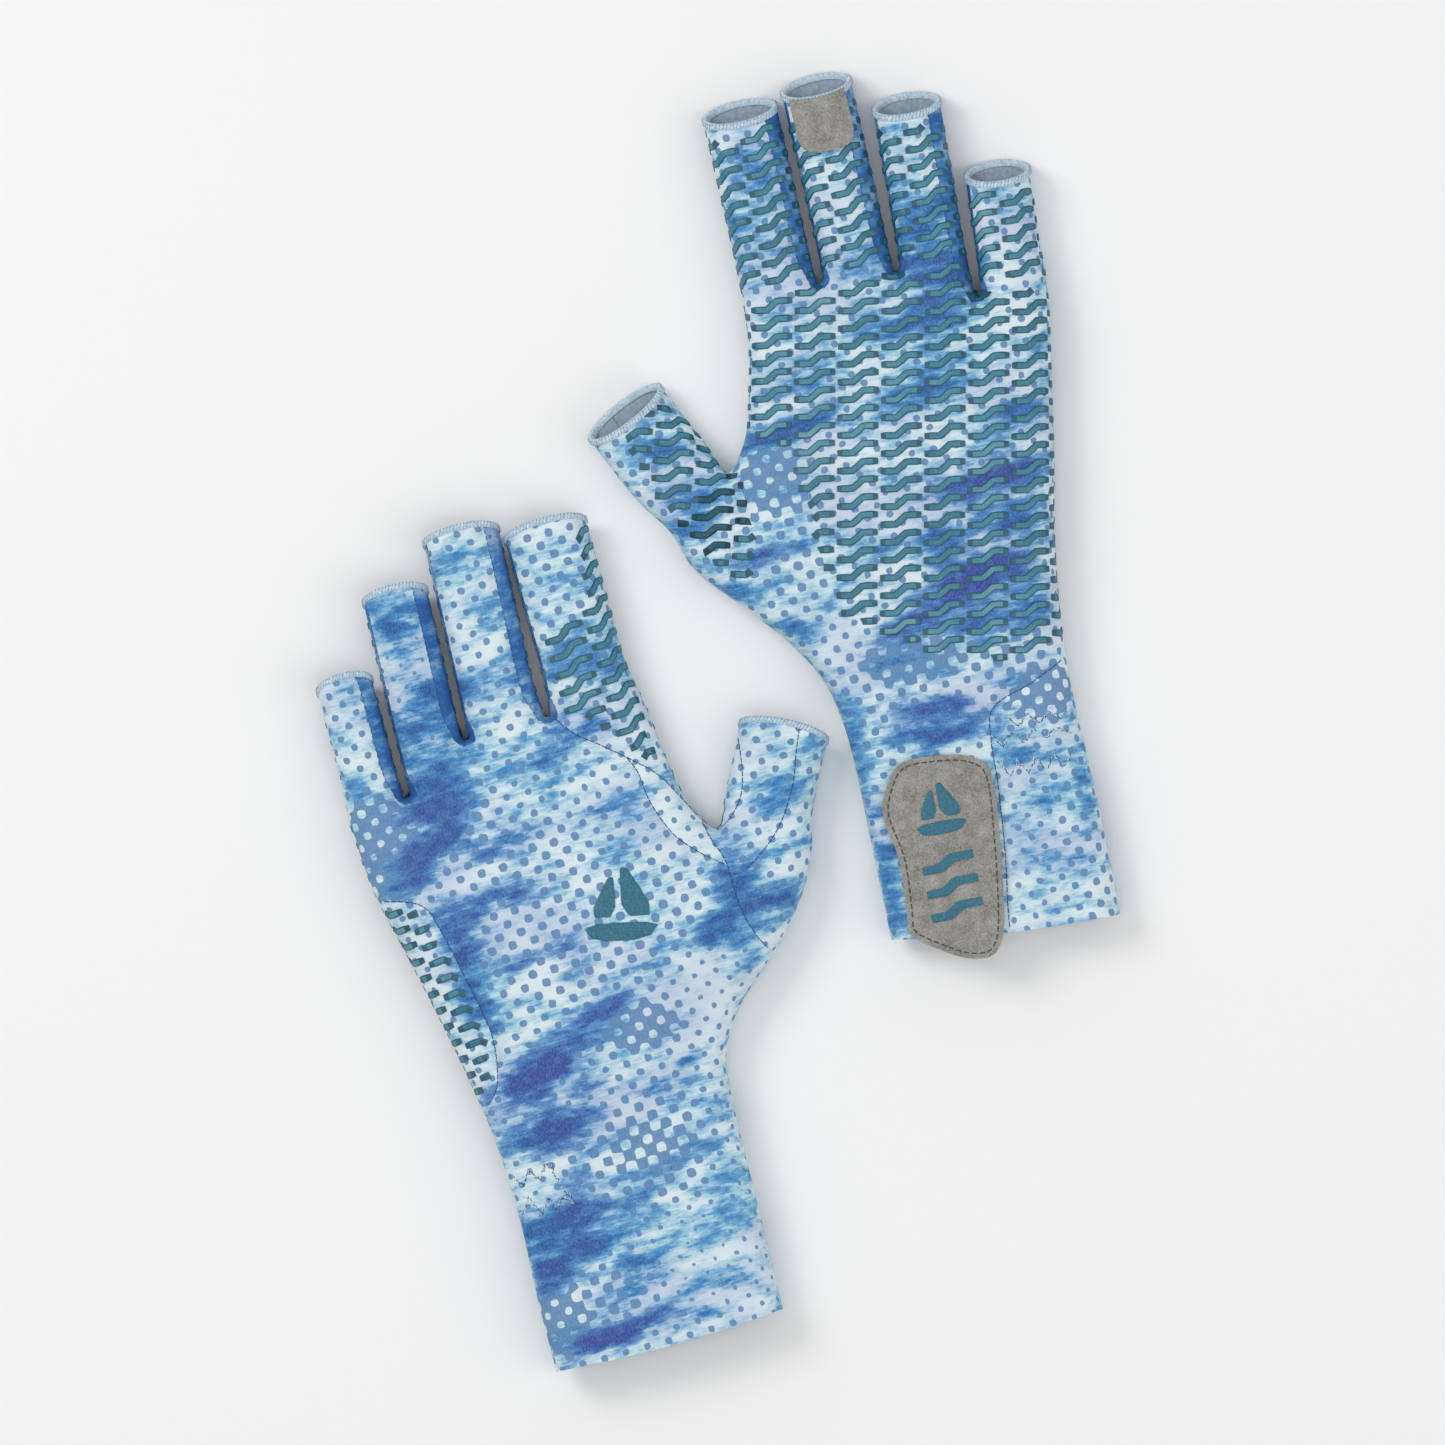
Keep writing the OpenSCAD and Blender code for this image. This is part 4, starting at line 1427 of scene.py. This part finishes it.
def add_bar(heap, skin, zone, corner, turn, flip):
    """Lays one bar on the cloth, or the stretch of it that lies in its zone."""
    drawn = np.array([(t * BAR_LONG, bar_line(1 - t if flip else t)) for t in STATIONS])
    flat = corner + drawn @ turned(turn)
    last = len(flat) - 1
    rings = []
    for i in np.flatnonzero(inside(flat, zone)):
        way = unit(flat[min(i + 1, last)] - flat[max(i - 1, 0)])
        side = vec(-way[1], way[0]) * BAR_WIDE / 2 * (BAR_END if i in (0, last) else 1)
        ring = [skin.at(*(flat[i] + side * w), h * BAR_HIGH) for w, h in SECTION]
        if any(p is None for p in ring):
            continue
        if rings and i - rings[-1][0] > 1:
            break
        rings.append((i, ring))
    if len(rings) < 2:
        return
    n = len(SECTION)
    points = [p for _, ring in rings for p in ring]
    faces, slots = [], []
    for r in range(len(rings) - 1):
        for k in range(n - 1):
            a = r * n + k
            faces.append((a, a + n, a + n + 1, a + 1))
            slots.append(0 if k == 2 and 0 < r < len(rings) - 2 else 1)
    faces += [tuple(range(n)), tuple(range(len(points) - 1, len(points) - n - 1, -1))]
    slots += [1, 1]
    heap.add(points, faces, slots)


def lay_grip(name, glove, upper, owner, zone, origin, turn, flip):
    """Fills a zone of the pattern with columns of bars."""
    heap = Heap()
    apart = vec(COLUMN, ROW)
    corners = (zone - origin) @ turned(turn).T // apart
    low, high = corners.min(0).astype(int) - 1, corners.max(0).astype(int) + 2
    for column in range(low[0], high[0]):
        for row in range(low[1], high[1]):
            corner = origin + vec(column, row) * apart @ turned(turn)
            add_bar(heap, SKINS[glove.name, upper, owner], zone, corner, turn, flip)
    heap.build(name, glove, owner, "grip", "grip_edge")
    print(name, glove.name, "has", len(heap.faces), "faces")


# Zones are drawn for a palm whose thumb points to -x.
PALM_TURN = math.radians(-11.35)
PALM_ZONE = [(-60, 190), (-60, 150), (-42, 145.5), (-37, 142), (-33, 138), (-31.5, 125), (-30, 110),
             (-27, 93), (-18, 85), (-5, 78), (10, 73), (20, 70.5), (29, 73.5), (50, 80), (60, 190)]
THUMB_ZONE = [(-56, 107.5), (-49, 107.5), (-46, 112), (-45, 128), (-47, 141), (-54, 152), (-66, 161),
              (-76, 153), (-75, 147), (-70, 131), (-63, 121)]


FIRST_BARS = {"index": -3.7, "middle": -3.6, "ring": -3.9, "little": -1.7}
GRIP_SIDE = 1.6
GRIP_START = 1.5
GRIP_STOP = 3.4


def palm_place(face, points):
    """Points drawn for glove B's palm, on this face's own pattern."""
    return face.place(np.array(points, float) * vec(-1, 1))


for glove in GLOVES:
    upper = not glove.back_up
    face = PATTERNS[glove.name, upper].face
    mirror = glove.side > 0
    turn = -PALM_TURN if mirror else PALM_TURN
    origin = palm_place(face, [(-0.4, 172.5)])[0]
    lay_grip("palm_grip", glove, upper, "hand", palm_place(face, PALM_ZONE), origin, turn, mirror)
    zone = palm_place(face, THUMB_ZONE)
    spot = palm_place(face, [(-58.6, 137)])[0]
    lay_grip("thumb_root_grip", glove, upper, "hand", zone, spot, turn * 1.4, mirror)
    lay_grip("thumb_grip", glove, upper, "thumb", zone, spot, turn * 1.4, mirror)
    for name, shift in FIRST_BARS.items():
        finger = glove.finger[name]
        start = root_of(glove, finger)
        zone = finger_box(finger, GRIP_SIDE, start + GRIP_START, finger.lip_end(upper) - GRIP_STOP)
        first = finger.at(0, start) + finger.across * shift * -glove.side
        lay_grip(f"{name}_grip", glove, upper, name, zone, first, finger.lean + turn * 0.25, mirror)

# The index finger's own panel and the little finger's side carry the grip round to the back.
INDEX_ZONE = [(16.5, 170), (22, 167.5), (30, 161), (34, 152), (37, 148), (48, 140), (48, 230), (33, 216),
              (32.5, 200), (28, 194), (16.5, 194)]
ULNAR_ZONE = [(-60, 136), (-41, 133.5), (-35, 132), (-31, 122), (-28.6, 110), (-26.8, 100), (-25.8, 90),
              (-27.5, 81), (-32, 76.5), (-60, 76)]
ULNAR_TURN = math.radians(8.6)
for glove in GLOVES:
    upper = glove.back_up
    face = PATTERNS[glove.name, upper].face
    mirror = glove.side < 0
    origin = face.place([(30, 163)])[0]
    lay_grip("index_back_grip", glove, upper, "index", face.place(INDEX_ZONE), origin,
             glove.finger["index"].lean, mirror)
    origin = face.place([(-33.5, 104)])[0]
    lay_grip("ulnar_grip", glove, upper, "hand", face.place(ULNAR_ZONE), origin,
             ULNAR_TURN * glove.side, not mirror)

# %% [markdown]
# ## The edgings of the fingers
# Each open fingertip is bound with a narrow band of overlocking. The band's profile, a thin U that
# wraps over the rim, is carried round the sleeve, and a comb of slanting threads is laid over it.

# %% Edging bands and their threads
BAND = 1.5
RIM_TURNS = np.linspace(-math.pi / 2, math.pi / 2, 33)
COMB_STEP, COMB_SLANT, COMB_THREAD = 0.95, 0.55, 0.12
BAND_PROFILE = [(BAND, 0.02), (BAND - 0.15, 0.34), (BAND * 0.5, 0.46), (0.25, 0.42), (-0.30, 0.05),
                (-0.38, -0.45), (-0.05, -0.95), (BAND * 0.5, -1.12), (BAND, -1.08), (BAND, -0.5)]


def rim_loop(glove, finger):
    """Points round a sleeve's open end, with the way out of the cloth and the way down the sleeve."""
    loop = []
    for upper, order in ((True, RIM_TURNS), (False, RIM_TURNS[::-1][1:-1])):
        pattern = PATTERNS[glove.name, upper]
        flat = finger.arch(upper, order)
        z = glove.shape.lift(flat, upper, list(pattern.face.seams.values()), pattern.edges)
        loop.append(np.column_stack([flat, z]))
    loop = np.vstack(loop)
    down = -vec(*finger.along, 0)
    way = np.roll(loop, -1, axis=0) - np.roll(loop, 1, axis=0)
    way -= (way @ down)[:, None] * down
    out = unit(np.cross(way, down))
    if ((loop - loop.mean(0)) * out).sum() < 0:
        out = -out
    return loop, out, down


def thread(heap, a, b, out, radius):
    """A short three-sided thread from a to b."""
    way = unit(b - a)
    side = np.cross(way, out)
    ring = [side * radius, out * radius * 1.2, -side * radius]
    heap.add([a + r for r in ring] + [b + r for r in ring],
             [(0, 3, 4, 1), (1, 4, 5, 2), (2, 1, 0), (3, 5, 4)])


def edge_finger(glove, finger):
    """Builds one finger's band and its comb of threads."""
    loop, out, down = rim_loop(glove, finger)
    band, comb = Heap(), Heap()
    n, m = len(loop), len(BAND_PROFILE)
    points = np.array([p + down * d + o * h for p, o in zip(loop, out) for d, h in BAND_PROFILE])
    faces = [(i * m + k, i * m + q, j * m + q, j * m + k)
             for i, j in ring_links(n) for k, q in ring_links(m)]
    a, b, c = (points[[f[k] for f in faces]] for k in range(3))
    outward = ((a - loop.mean(0)) * np.cross(b - a, c - a)).sum()
    band.add(points, faces if outward > 0 else [f[::-1] for f in faces])
    loop, out = (np.vstack([rows, rows[:1]]) for rows in (loop, out))
    at = lengths(loop)
    for s in np.arange(0, at[-1] - 0.3, COMB_STEP):
        p, q = read_at([s, (s + COMB_SLANT) % at[-1]], at, loop)
        o = unit(read_at([s], at, out)[0])
        thread(comb, p + down * (BAND - 0.25) + o * 0.40, q - down * 0.22 + o * 0.34, o, COMB_THREAD)
    band.build(f"{finger.name}_edging", glove, finger.name, "edging")
    comb.build(f"{finger.name}_overlock", glove, finger.name, "overlock")


for glove in GLOVES:
    for finger in glove.fingers:
        edge_finger(glove, finger)

# %% [markdown]
# ## Seam stitches
# A row of short, dark stitches runs along every seam. Each one is a short, straight thread laid
# just over the cloth's surface.

# %% Stitches along the seams
# Each stitch: how long it is, how far to the next one, and its radius.
GAP_STITCH = (1.0, 0.7, 0.13)
SEAM_STITCH = (1.5, 0.35, 0.17)


def stitch_run(heaps, pattern, line, long, gap, radius):
    """Lays stitches along a line of the pattern, and sorts them by the part that they ride on."""
    glove = pattern.glove
    at = lengths(line)
    for s in np.arange(0.4, at[-1] - long, long + gap):
        a, b = read_at([s, s + long], at, line)
        owner = "hand"
        for finger in glove.fingers:
            if inside(((a + b) / 2)[None], finger_area(finger, root_of(glove, finger)))[0]:
                owner = finger.name
        skin = SKINS[glove.name, pattern.upper, owner]
        p, q, top = skin.at(*a, 0.02), skin.at(*b, 0.02), skin.at(*((a + b) / 2), 1.0)
        if p is None or q is None or top is None:
            continue
        p, q, top = (np.array(v) for v in (p, q, top))
        thread(heaps.setdefault(owner, Heap()), p, q, unit(top - (p + q) / 2), radius)


for glove in GLOVES:
    heaps = {}
    for upper in (True, False):
        pattern = PATTERNS[glove.name, upper]
        for name, line in pattern.face.seams.items():
            flat = line[inside(line, boundary(glove, upper))]
            if len(flat) < 3:
                continue
            on_pattern = unrolled(flat, *pattern.edges.look_up(flat))
            sizes = GAP_STITCH if name.startswith("gap") else SEAM_STITCH
            stitch_run(heaps, pattern, on_pattern, *sizes)
    for owner, heap in heaps.items():
        heap.build(f"{owner}_seam_stitches", glove, owner, "dark_thread")
    print(glove.name, "seam stitches:", {o: len(h.faces) // 4 for o, h in heaps.items()})

# %% [markdown]
# ## Zigzag stitches over the elastic
# A strip of elastic is sewn inside the wrist, and its zigzag shows through on the outside in
# threads of two colours.

# %% Zigzag
ZIGZAG_BACK = [[(-29, 43), (-26, 47.5), (-24, 42), (-21, 46), (-20, 41.5), (-17.5, 45), (-15, 42.5)],
               [(-29, 54), (-26.5, 50.5), (-24, 54.5), (-22, 51), (-19.5, 55), (-18, 53)],
               [(-18.2, 54.5), (-17.4, 50), (-16, 46.5), (-14.6, 42.5)]]
ZIGZAG_PALM = [[(7, 46), (9.5, 41), (12, 45.5), (14.5, 41), (17, 45), (19.5, 41), (22, 45), (24.5, 41.5),
                (28, 45)],
               [(6.5, 53), (9, 49.5), (12, 53), (15, 49.5), (18, 52.5), (21, 49.5), (24, 52), (28, 49.5)],
               [(12, 56.5), (14.5, 54), (17, 57), (20, 54), (23, 56.5), (26, 54), (29, 56)]]
ZIGZAG_THREAD = 0.13
rng = np.random.default_rng(8)
for glove in GLOVES:
    heaps = {"dark_thread": Heap(), "pale_thread": Heap()}
    for upper in (True, False):
        pattern = PATTERNS[glove.name, upper]
        face, skin = pattern.face, SKINS[glove.name, upper, "hand"]
        for row in ZIGZAG_BACK if face.shows_back else ZIGZAG_PALM:
            drawn = np.array(row, float) * (1 if face.shows_back else vec(-1, 1))
            line = even(face.place(drawn), 0.75)
            for a, b in zip(line, line[1:]):
                for kind, heap in heaps.items():
                    off = rng.uniform(-0.45, 0.45, 2)
                    p, q = skin.at(*(a + off), 0.03), skin.at(*(b + off * 0.3), 0.03)
                    top = skin.at(*a, 1.03)
                    if p is None or q is None or top is None or rng.uniform() < 0.25:
                        continue
                    thread(heap, np.array(p), np.array(q), unit(np.subtract(top, p)), ZIGZAG_THREAD)
    for kind, heap in heaps.items():
        heap.build(f"zigzag_{kind}", glove, "hand", kind)

# %% [markdown]
# ## Suede pieces
# A pull tab of grey suede is sewn to the cuff, and a patch of the same suede covers the tip of the
# middle finger. Both are cut sheets: an outline is filled with triangles, laid in place, and
# thickened.

# %% Suede, the tab and the patch
TAB_HIDE = 0.25
PATCH_WIDE, PATCH_LONG, PATCH_THICK = 15.2, 15.5, 0.6
TAB_STITCH, TAB_STITCH_APART, TAB_STITCH_THREAD = 1.45, 2.15, 0.2
PRINT_FOOT = -0.05
PRINT_STEP = 1.0
FOLD = 0.18


def rounded(polygon, times=2):
    """Cuts a polygon's corners off, again and again."""
    p = np.array(polygon, float)
    for _ in range(times):
        q = np.roll(p, -1, axis=0)
        p = np.stack([0.8 * p + 0.2 * q, 0.2 * p + 0.8 * q], axis=1).reshape(-1, 2)
    return p


def filled(polygon, step):
    """An outline filled with triangles: its points and its triangles."""
    ring = even(np.vstack([polygon, polygon[:1]]), step)[:-1]
    grid = grid_points(ring, step)
    grid = grid[inside(grid, ring)]
    near = nearest_on(grid, ring, np.roll(ring, -1, axis=0))[0]
    verts = [*ring, *grid[near > step * 0.55]]
    return *joined(verts, ring_links(len(ring)), 1), len(ring)


def first_normal(points, tris):
    """The normal of the first triangle."""
    a, b, c = (np.array(points[i]) for i in tris[0])
    return np.cross(b - a, c - a)


def slab(heap, polygon, place, high):
    """A flat shape laid on something, from a sunken foot to height high, with softened edges."""
    flat, tris, ring = filled(polygon, PRINT_STEP)
    top = [place(*p, high) for p in flat]
    up = np.array(place(*flat[tris[0][0]], high + 1)) - np.array(top[tris[0][0]])
    over = np.dot(first_normal(top, tris), up) < 0
    rim = flat[:ring] - unit(flat.mean(0) - flat[:ring]) * FOLD
    shoulder = [place(*p, high * 0.75 + PRINT_FOOT * 0.25) for p in rim]
    foot = [place(*p, PRINT_FOOT) for p in rim]
    n = len(top)
    rims = []
    for i, j in ring_links(ring):
        rims += [(i, n + i, n + j, j), (n + i, n + ring + i, n + ring + j, n + j)]
    x, y = flat[:ring].T
    rim_over = over == ((x * np.roll(y, -1) - np.roll(x, -1) * y).sum() > 0)
    faces = [tuple(t)[::-1] if over else tuple(t) for t in tris]
    heap.add(top + shoulder + foot, faces + [f[::-1] if rim_over else f for f in rims])


ELASTIC_START, ELASTIC_IN, ELASTIC_THICK = 29.5, 1.3, 0.5
YACHT = [[(1, -4), (1, 12), (10, -4)], [(-1, -4), (-1, 9), (-8, -4)],
         [(-10, -6), (11, -6), (7, -10.5), (-7, -10.5)]]
WAVE = [(-7, -1.6), (-1.6, -1.6), (1.6, 0.6), (7, 0.6), (7, 2.8), (0.6, 2.8), (-2.6, 0.6), (-7, 0.6)]


def tab_outline(glove):
    """The tab's outline in order round its middle, with its corners rounded."""
    p = glove.node_points("pull_tab")
    p = np.unique(p[p[:, 2] > p[:, 2].mean()][:, :2].round(2), axis=0)
    d = p - (p.min(0) + p.max(0)) / 2
    return rounded(p[np.argsort(np.arctan2(d[:, 1], d[:, 0]))])


def laid_piece(name, glove, owner, points, faces, kind, thickness):
    """A sheet of one material, thickened and hung on its part of the glove."""
    obj = mesh_object(f"{name}_{glove.name}", glove.world(points), faces)
    obj.data.materials.append(MATERIALS[kind])
    thicken(obj, thickness)
    shade(obj)
    attach(obj, glove, owner)
    PIECES[glove.name, name] = obj


def cut_sheet(name, glove, owner, outline, step, place, thickness):
    """A flat cut of suede laid in place and thickened, away from the side that shows."""
    flat, tris, _ = filled(outline, step)
    top = [place(*p) for p in flat]
    if (first_normal(top, tris)[2] > 0) == glove.back_up:
        tris = tris[:, ::-1]
    laid_piece(name, glove, owner, top, tris, "suede", thickness)
    CUTS[glove.name, name] = cut_size([(flat, tris)])


def build_tab(glove):
    """The pull tab, its stitches and its raised print, on the palm side of the cuff."""
    low, high = (corner.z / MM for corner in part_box(glove.node("pull_tab").name))
    way = -1 if glove.back_up else 1
    outer = low if glove.back_up else high

    def place(x, y, h):
        """A point at height h over the tab, which lies in a few soft waves."""
        sag = TAB_HIDE * math.sin(x * 0.16 + 1) * math.cos(y * 0.11)
        return Vector((x, y, outer + way * (h + sag - TAB_HIDE)))

    outline = tab_outline(glove)
    thickness = high - low - TAB_HIDE
    cut_sheet("pull_tab", glove, "tab", outline, 2.2, lambda x, y: place(x, y, 0), thickness)
    closed = even(np.vstack([outline, outline[:1]]), 1.0)
    normal, _ = line_normals(closed)
    normal *= np.sign((normal * unit(outline.mean(0) - closed)).sum(1, keepdims=True))
    line = even(closed + normal * 1.5, 0.4)
    at = lengths(line)
    stitches = Heap()
    for s in np.arange(0, at[-1] - 1.4, TAB_STITCH_APART):
        a, b = (np.array(place(*p, 0.03)) for p in read_at([s, s + TAB_STITCH], at, line))
        thread(stitches, a, b, vec(0, 0, way), TAB_STITCH_THREAD)
    stitches.build("tab_stitches", glove, "tab", "grey_thread")
    motif = Heap()
    mirror = vec(-glove.side, 1)
    middle = vec(TAB_HINGE[0] * glove.side, 0)
    for shape in YACHT:
        yacht = middle + vec(0, 37) + np.array(shape, float) * 0.7 * mirror
        slab(motif, rounded(yacht, 1), place, 0.26)
    for y in (8, 14.5, 21):
        slab(motif, middle + vec(0, y) + np.array(WAVE) * mirror, place, 0.26)
    motif.build("tab_print", glove, "tab", "print")


def build_patch(glove):
    """The suede on the palm side of the middle fingertip."""
    upper = not glove.back_up
    finger = glove.finger["middle"]
    skin = SKINS[glove.name, upper, "middle"]
    half = PATCH_WIDE / 2
    top = finger.lip_end(upper)
    rise = (top - finger.end) * LIP_BOW
    across = np.linspace(half, -half, 12) / finger.half
    outline = [finger.at(u, finger.end + rise * math.sqrt(1 - u * u) - 0.15) for u in across]
    left = [(-half, 4), (-half + 1.2, 1.3), (-half + 4, 0)]
    right = [(half - 4, 0), (half - 1.2, 1.3), (half, 4)]
    outline += [finger.at(x / finger.half, top - PATCH_LONG + y) for x, y in left + right]
    cut_sheet("middle_patch", glove, "middle", np.array(outline), 1.3,
              lambda x, y: skin.at(x, y, 0.7, 1.5), PATCH_THICK)


def build_emblem(glove):
    """A raised yacht on the back of the hand."""
    pattern = PATTERNS[glove.name, glove.back_up]
    skin = SKINS[glove.name, glove.back_up, "hand"]
    spot = pattern.face.place([(18.5, 118)])[0]
    axes = turned(math.radians(-12) * glove.side)
    emblem = Heap()
    for shape in YACHT:
        points = np.array(shape, float) * vec(glove.side, 1)
        slab(emblem, spot + rounded(points, 1) @ axes, skin.at, 0.3)
    emblem.build("back_emblem", glove, "hand", "print")


def build_elastic(glove):
    """The strip of elastic inside the wrist, on the little finger's side."""
    p = glove.node_points("wrist_elastic")
    low, high = p[:, 1].min(), p[:, 1].max()
    strip, strip_long = Heap(), 0.0
    for upper in (True, False):
        pattern = PATTERNS[glove.name, upper]
        reach = 15 if upper == glove.back_up else 1
        strip_long += ELASTIC_START - reach
        xs = np.linspace(-ELASTIC_START, -reach, 18) * glove.side
        flat = np.array([(x, y) for x in xs for y in np.linspace(low, high, 7)])
        z = glove.shape.lift(flat, upper, [], pattern.edges) + (-ELASTIC_IN if upper else ELASTIC_IN)
        z += 0.12 * np.sin(flat[:, 0] * 2.4)
        faces = [(a, a + 1, a + 8, a + 7) for a in range(17 * 7) if a % 7 < 6]
        if (glove.side > 0) == upper:
            faces = [f[::-1] for f in faces]
        strip.add(np.column_stack([flat, z]), faces)
    laid_piece("wrist_elastic", glove, "hand", strip.points, strip.faces, "elastic", ELASTIC_THICK)
    CUTS[glove.name, "wrist_elastic"] = (high - low, strip_long, (high - low) * strip_long)


for glove in GLOVES:
    build_tab(glove)
    build_patch(glove)
    build_emblem(glove)
    build_elastic(glove)

# %% [markdown]
# ## Standing in for the frame's solids
# Every soft solid of the frame that a finished piece stands for is hidden. How big each sheet of
# cloth was when it was cut is printed, with how much of its box it fills.

# %% Replaced nodes and the sizes of the cut sheets
# A piece stands for the solid of its own name, except for these.
STANDS_FOR = {"thumb_outer": "thumb_side", "tab_stitches": "tab_stitching",
              "thumb_sleeve_back": "thumb_back", "thumb_back": None}
SLOTS = {"grip": "silicone_grip", "suede": "grey_suede", "edging": "pale_edging", "elastic": "elastic",
         "print": "raised_print", "overlock": "dark_thread", "dark_thread": "dark_thread",
         "pale_thread": "pale_edging", "grey_thread": "dark_thread"}
KIND_OF = {material.name: kind for kind, material in MATERIALS.items()}
ON_A_SHEET = {"tab_stitches": "pull_tab", "tab_print": "pull_tab", "back_emblem": "back_panel",
              "palm_grip": "palm_panel", "thumb_root_grip": "palm_panel", "thumb_grip": "thumb_palm",
              "index_back_grip": "index_wrap", "ulnar_grip": "ulnar_side",
              "hand_seam_stitches": "back_panel"}
for (g, name), obj in PIECES.items():
    node = f"{g}_{STANDS_FOR.get(name, name)}"
    if node in frame["nodes"]:
        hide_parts(node)
    SLOTS.get(KIND_OF[obj.data.materials[0].name], "printed_knit")
for (g, name), (wide, long, area) in CUTS.items():
    print(g, name, "cut", round(wide), "x", round(long), "mm, fills", round(area / (wide * long), 2))
    carried = [PIECES[g, on] for on, sheet in ON_A_SHEET.items() if sheet == name and (g, on) in PIECES]
    wide * MM
    long * MM
    area * MM * MM

# %% [markdown]
# ## Floor and light
# A pale floor and big, soft lights on all sides leave the cloth almost without shadows, so that its
# print shows as it is. Blender's default view transform would grey the colours, so the plain one,
# Standard, is used instead.

# %% Floor and lights
FLOOR_BELOW = 0.7
FLOOR_SIZE = 6
bpy.ops.mesh.primitive_plane_add(size=FLOOR_SIZE, location=(0, 0, cad_box[0].z - FLOOR_BELOW * MM))
floor = bpy.context.object
floor.name = "floor"
select(floor)
bpy.ops.object.transform_apply(location=True, rotation=True, scale=True)
pale = Finish("pale_floor", roughness=0.9, specular_ior_level=0.1)
pale.surface.inputs["Base Color"].default_value = colour("F6F6F6")
floor.data.materials.append(pale.material)
floor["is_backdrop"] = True


def area_light(name, place, size, power):
    """A soft round lamp that faces the middle of the floor."""
    bpy.ops.object.light_add(type="AREA", location=place)
    lamp = bpy.context.object
    lamp.name = name
    lamp.data.shape = "DISK"
    lamp.data.size = size
    lamp.data.energy = power
    lamp.rotation_euler = Vector(place).to_track_quat("Z", "Y").to_euler()


area_light("key", (-0.9, 0.9, 1.3), 0.9, 11)
area_light("fill", (1.1, -0.6, 1.2), 1.4, 5.9)
area_light("top", (0.0, -0.2, 1.9), 1.6, 7.1)
bpy.context.scene.view_settings.view_transform = "Standard"
sky = bpy.data.worlds.new("soft_sky")
bpy.context.scene.world = sky
sky.use_nodes = True
background = sky.node_tree.nodes["Background"]
background.inputs["Color"].default_value = (1, 1, 1, 1)
background.inputs["Strength"].default_value = 0.46

# %% [markdown]
# ## Sizes and the finish
# The box round everything built is measured, and how far the soft pieces stand out past the plain
# solids of the frame's own box is printed.

# %% Sizes and the finish
visual_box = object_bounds()
flat_cad, flat_visual = (*cad_box[0], *cad_box[1]), (*visual_box[0], *visual_box[1])
print("grown by, in mm:", [round((abs(v) - abs(c)) / MM, 1) for c, v in zip(flat_cad, flat_visual)])
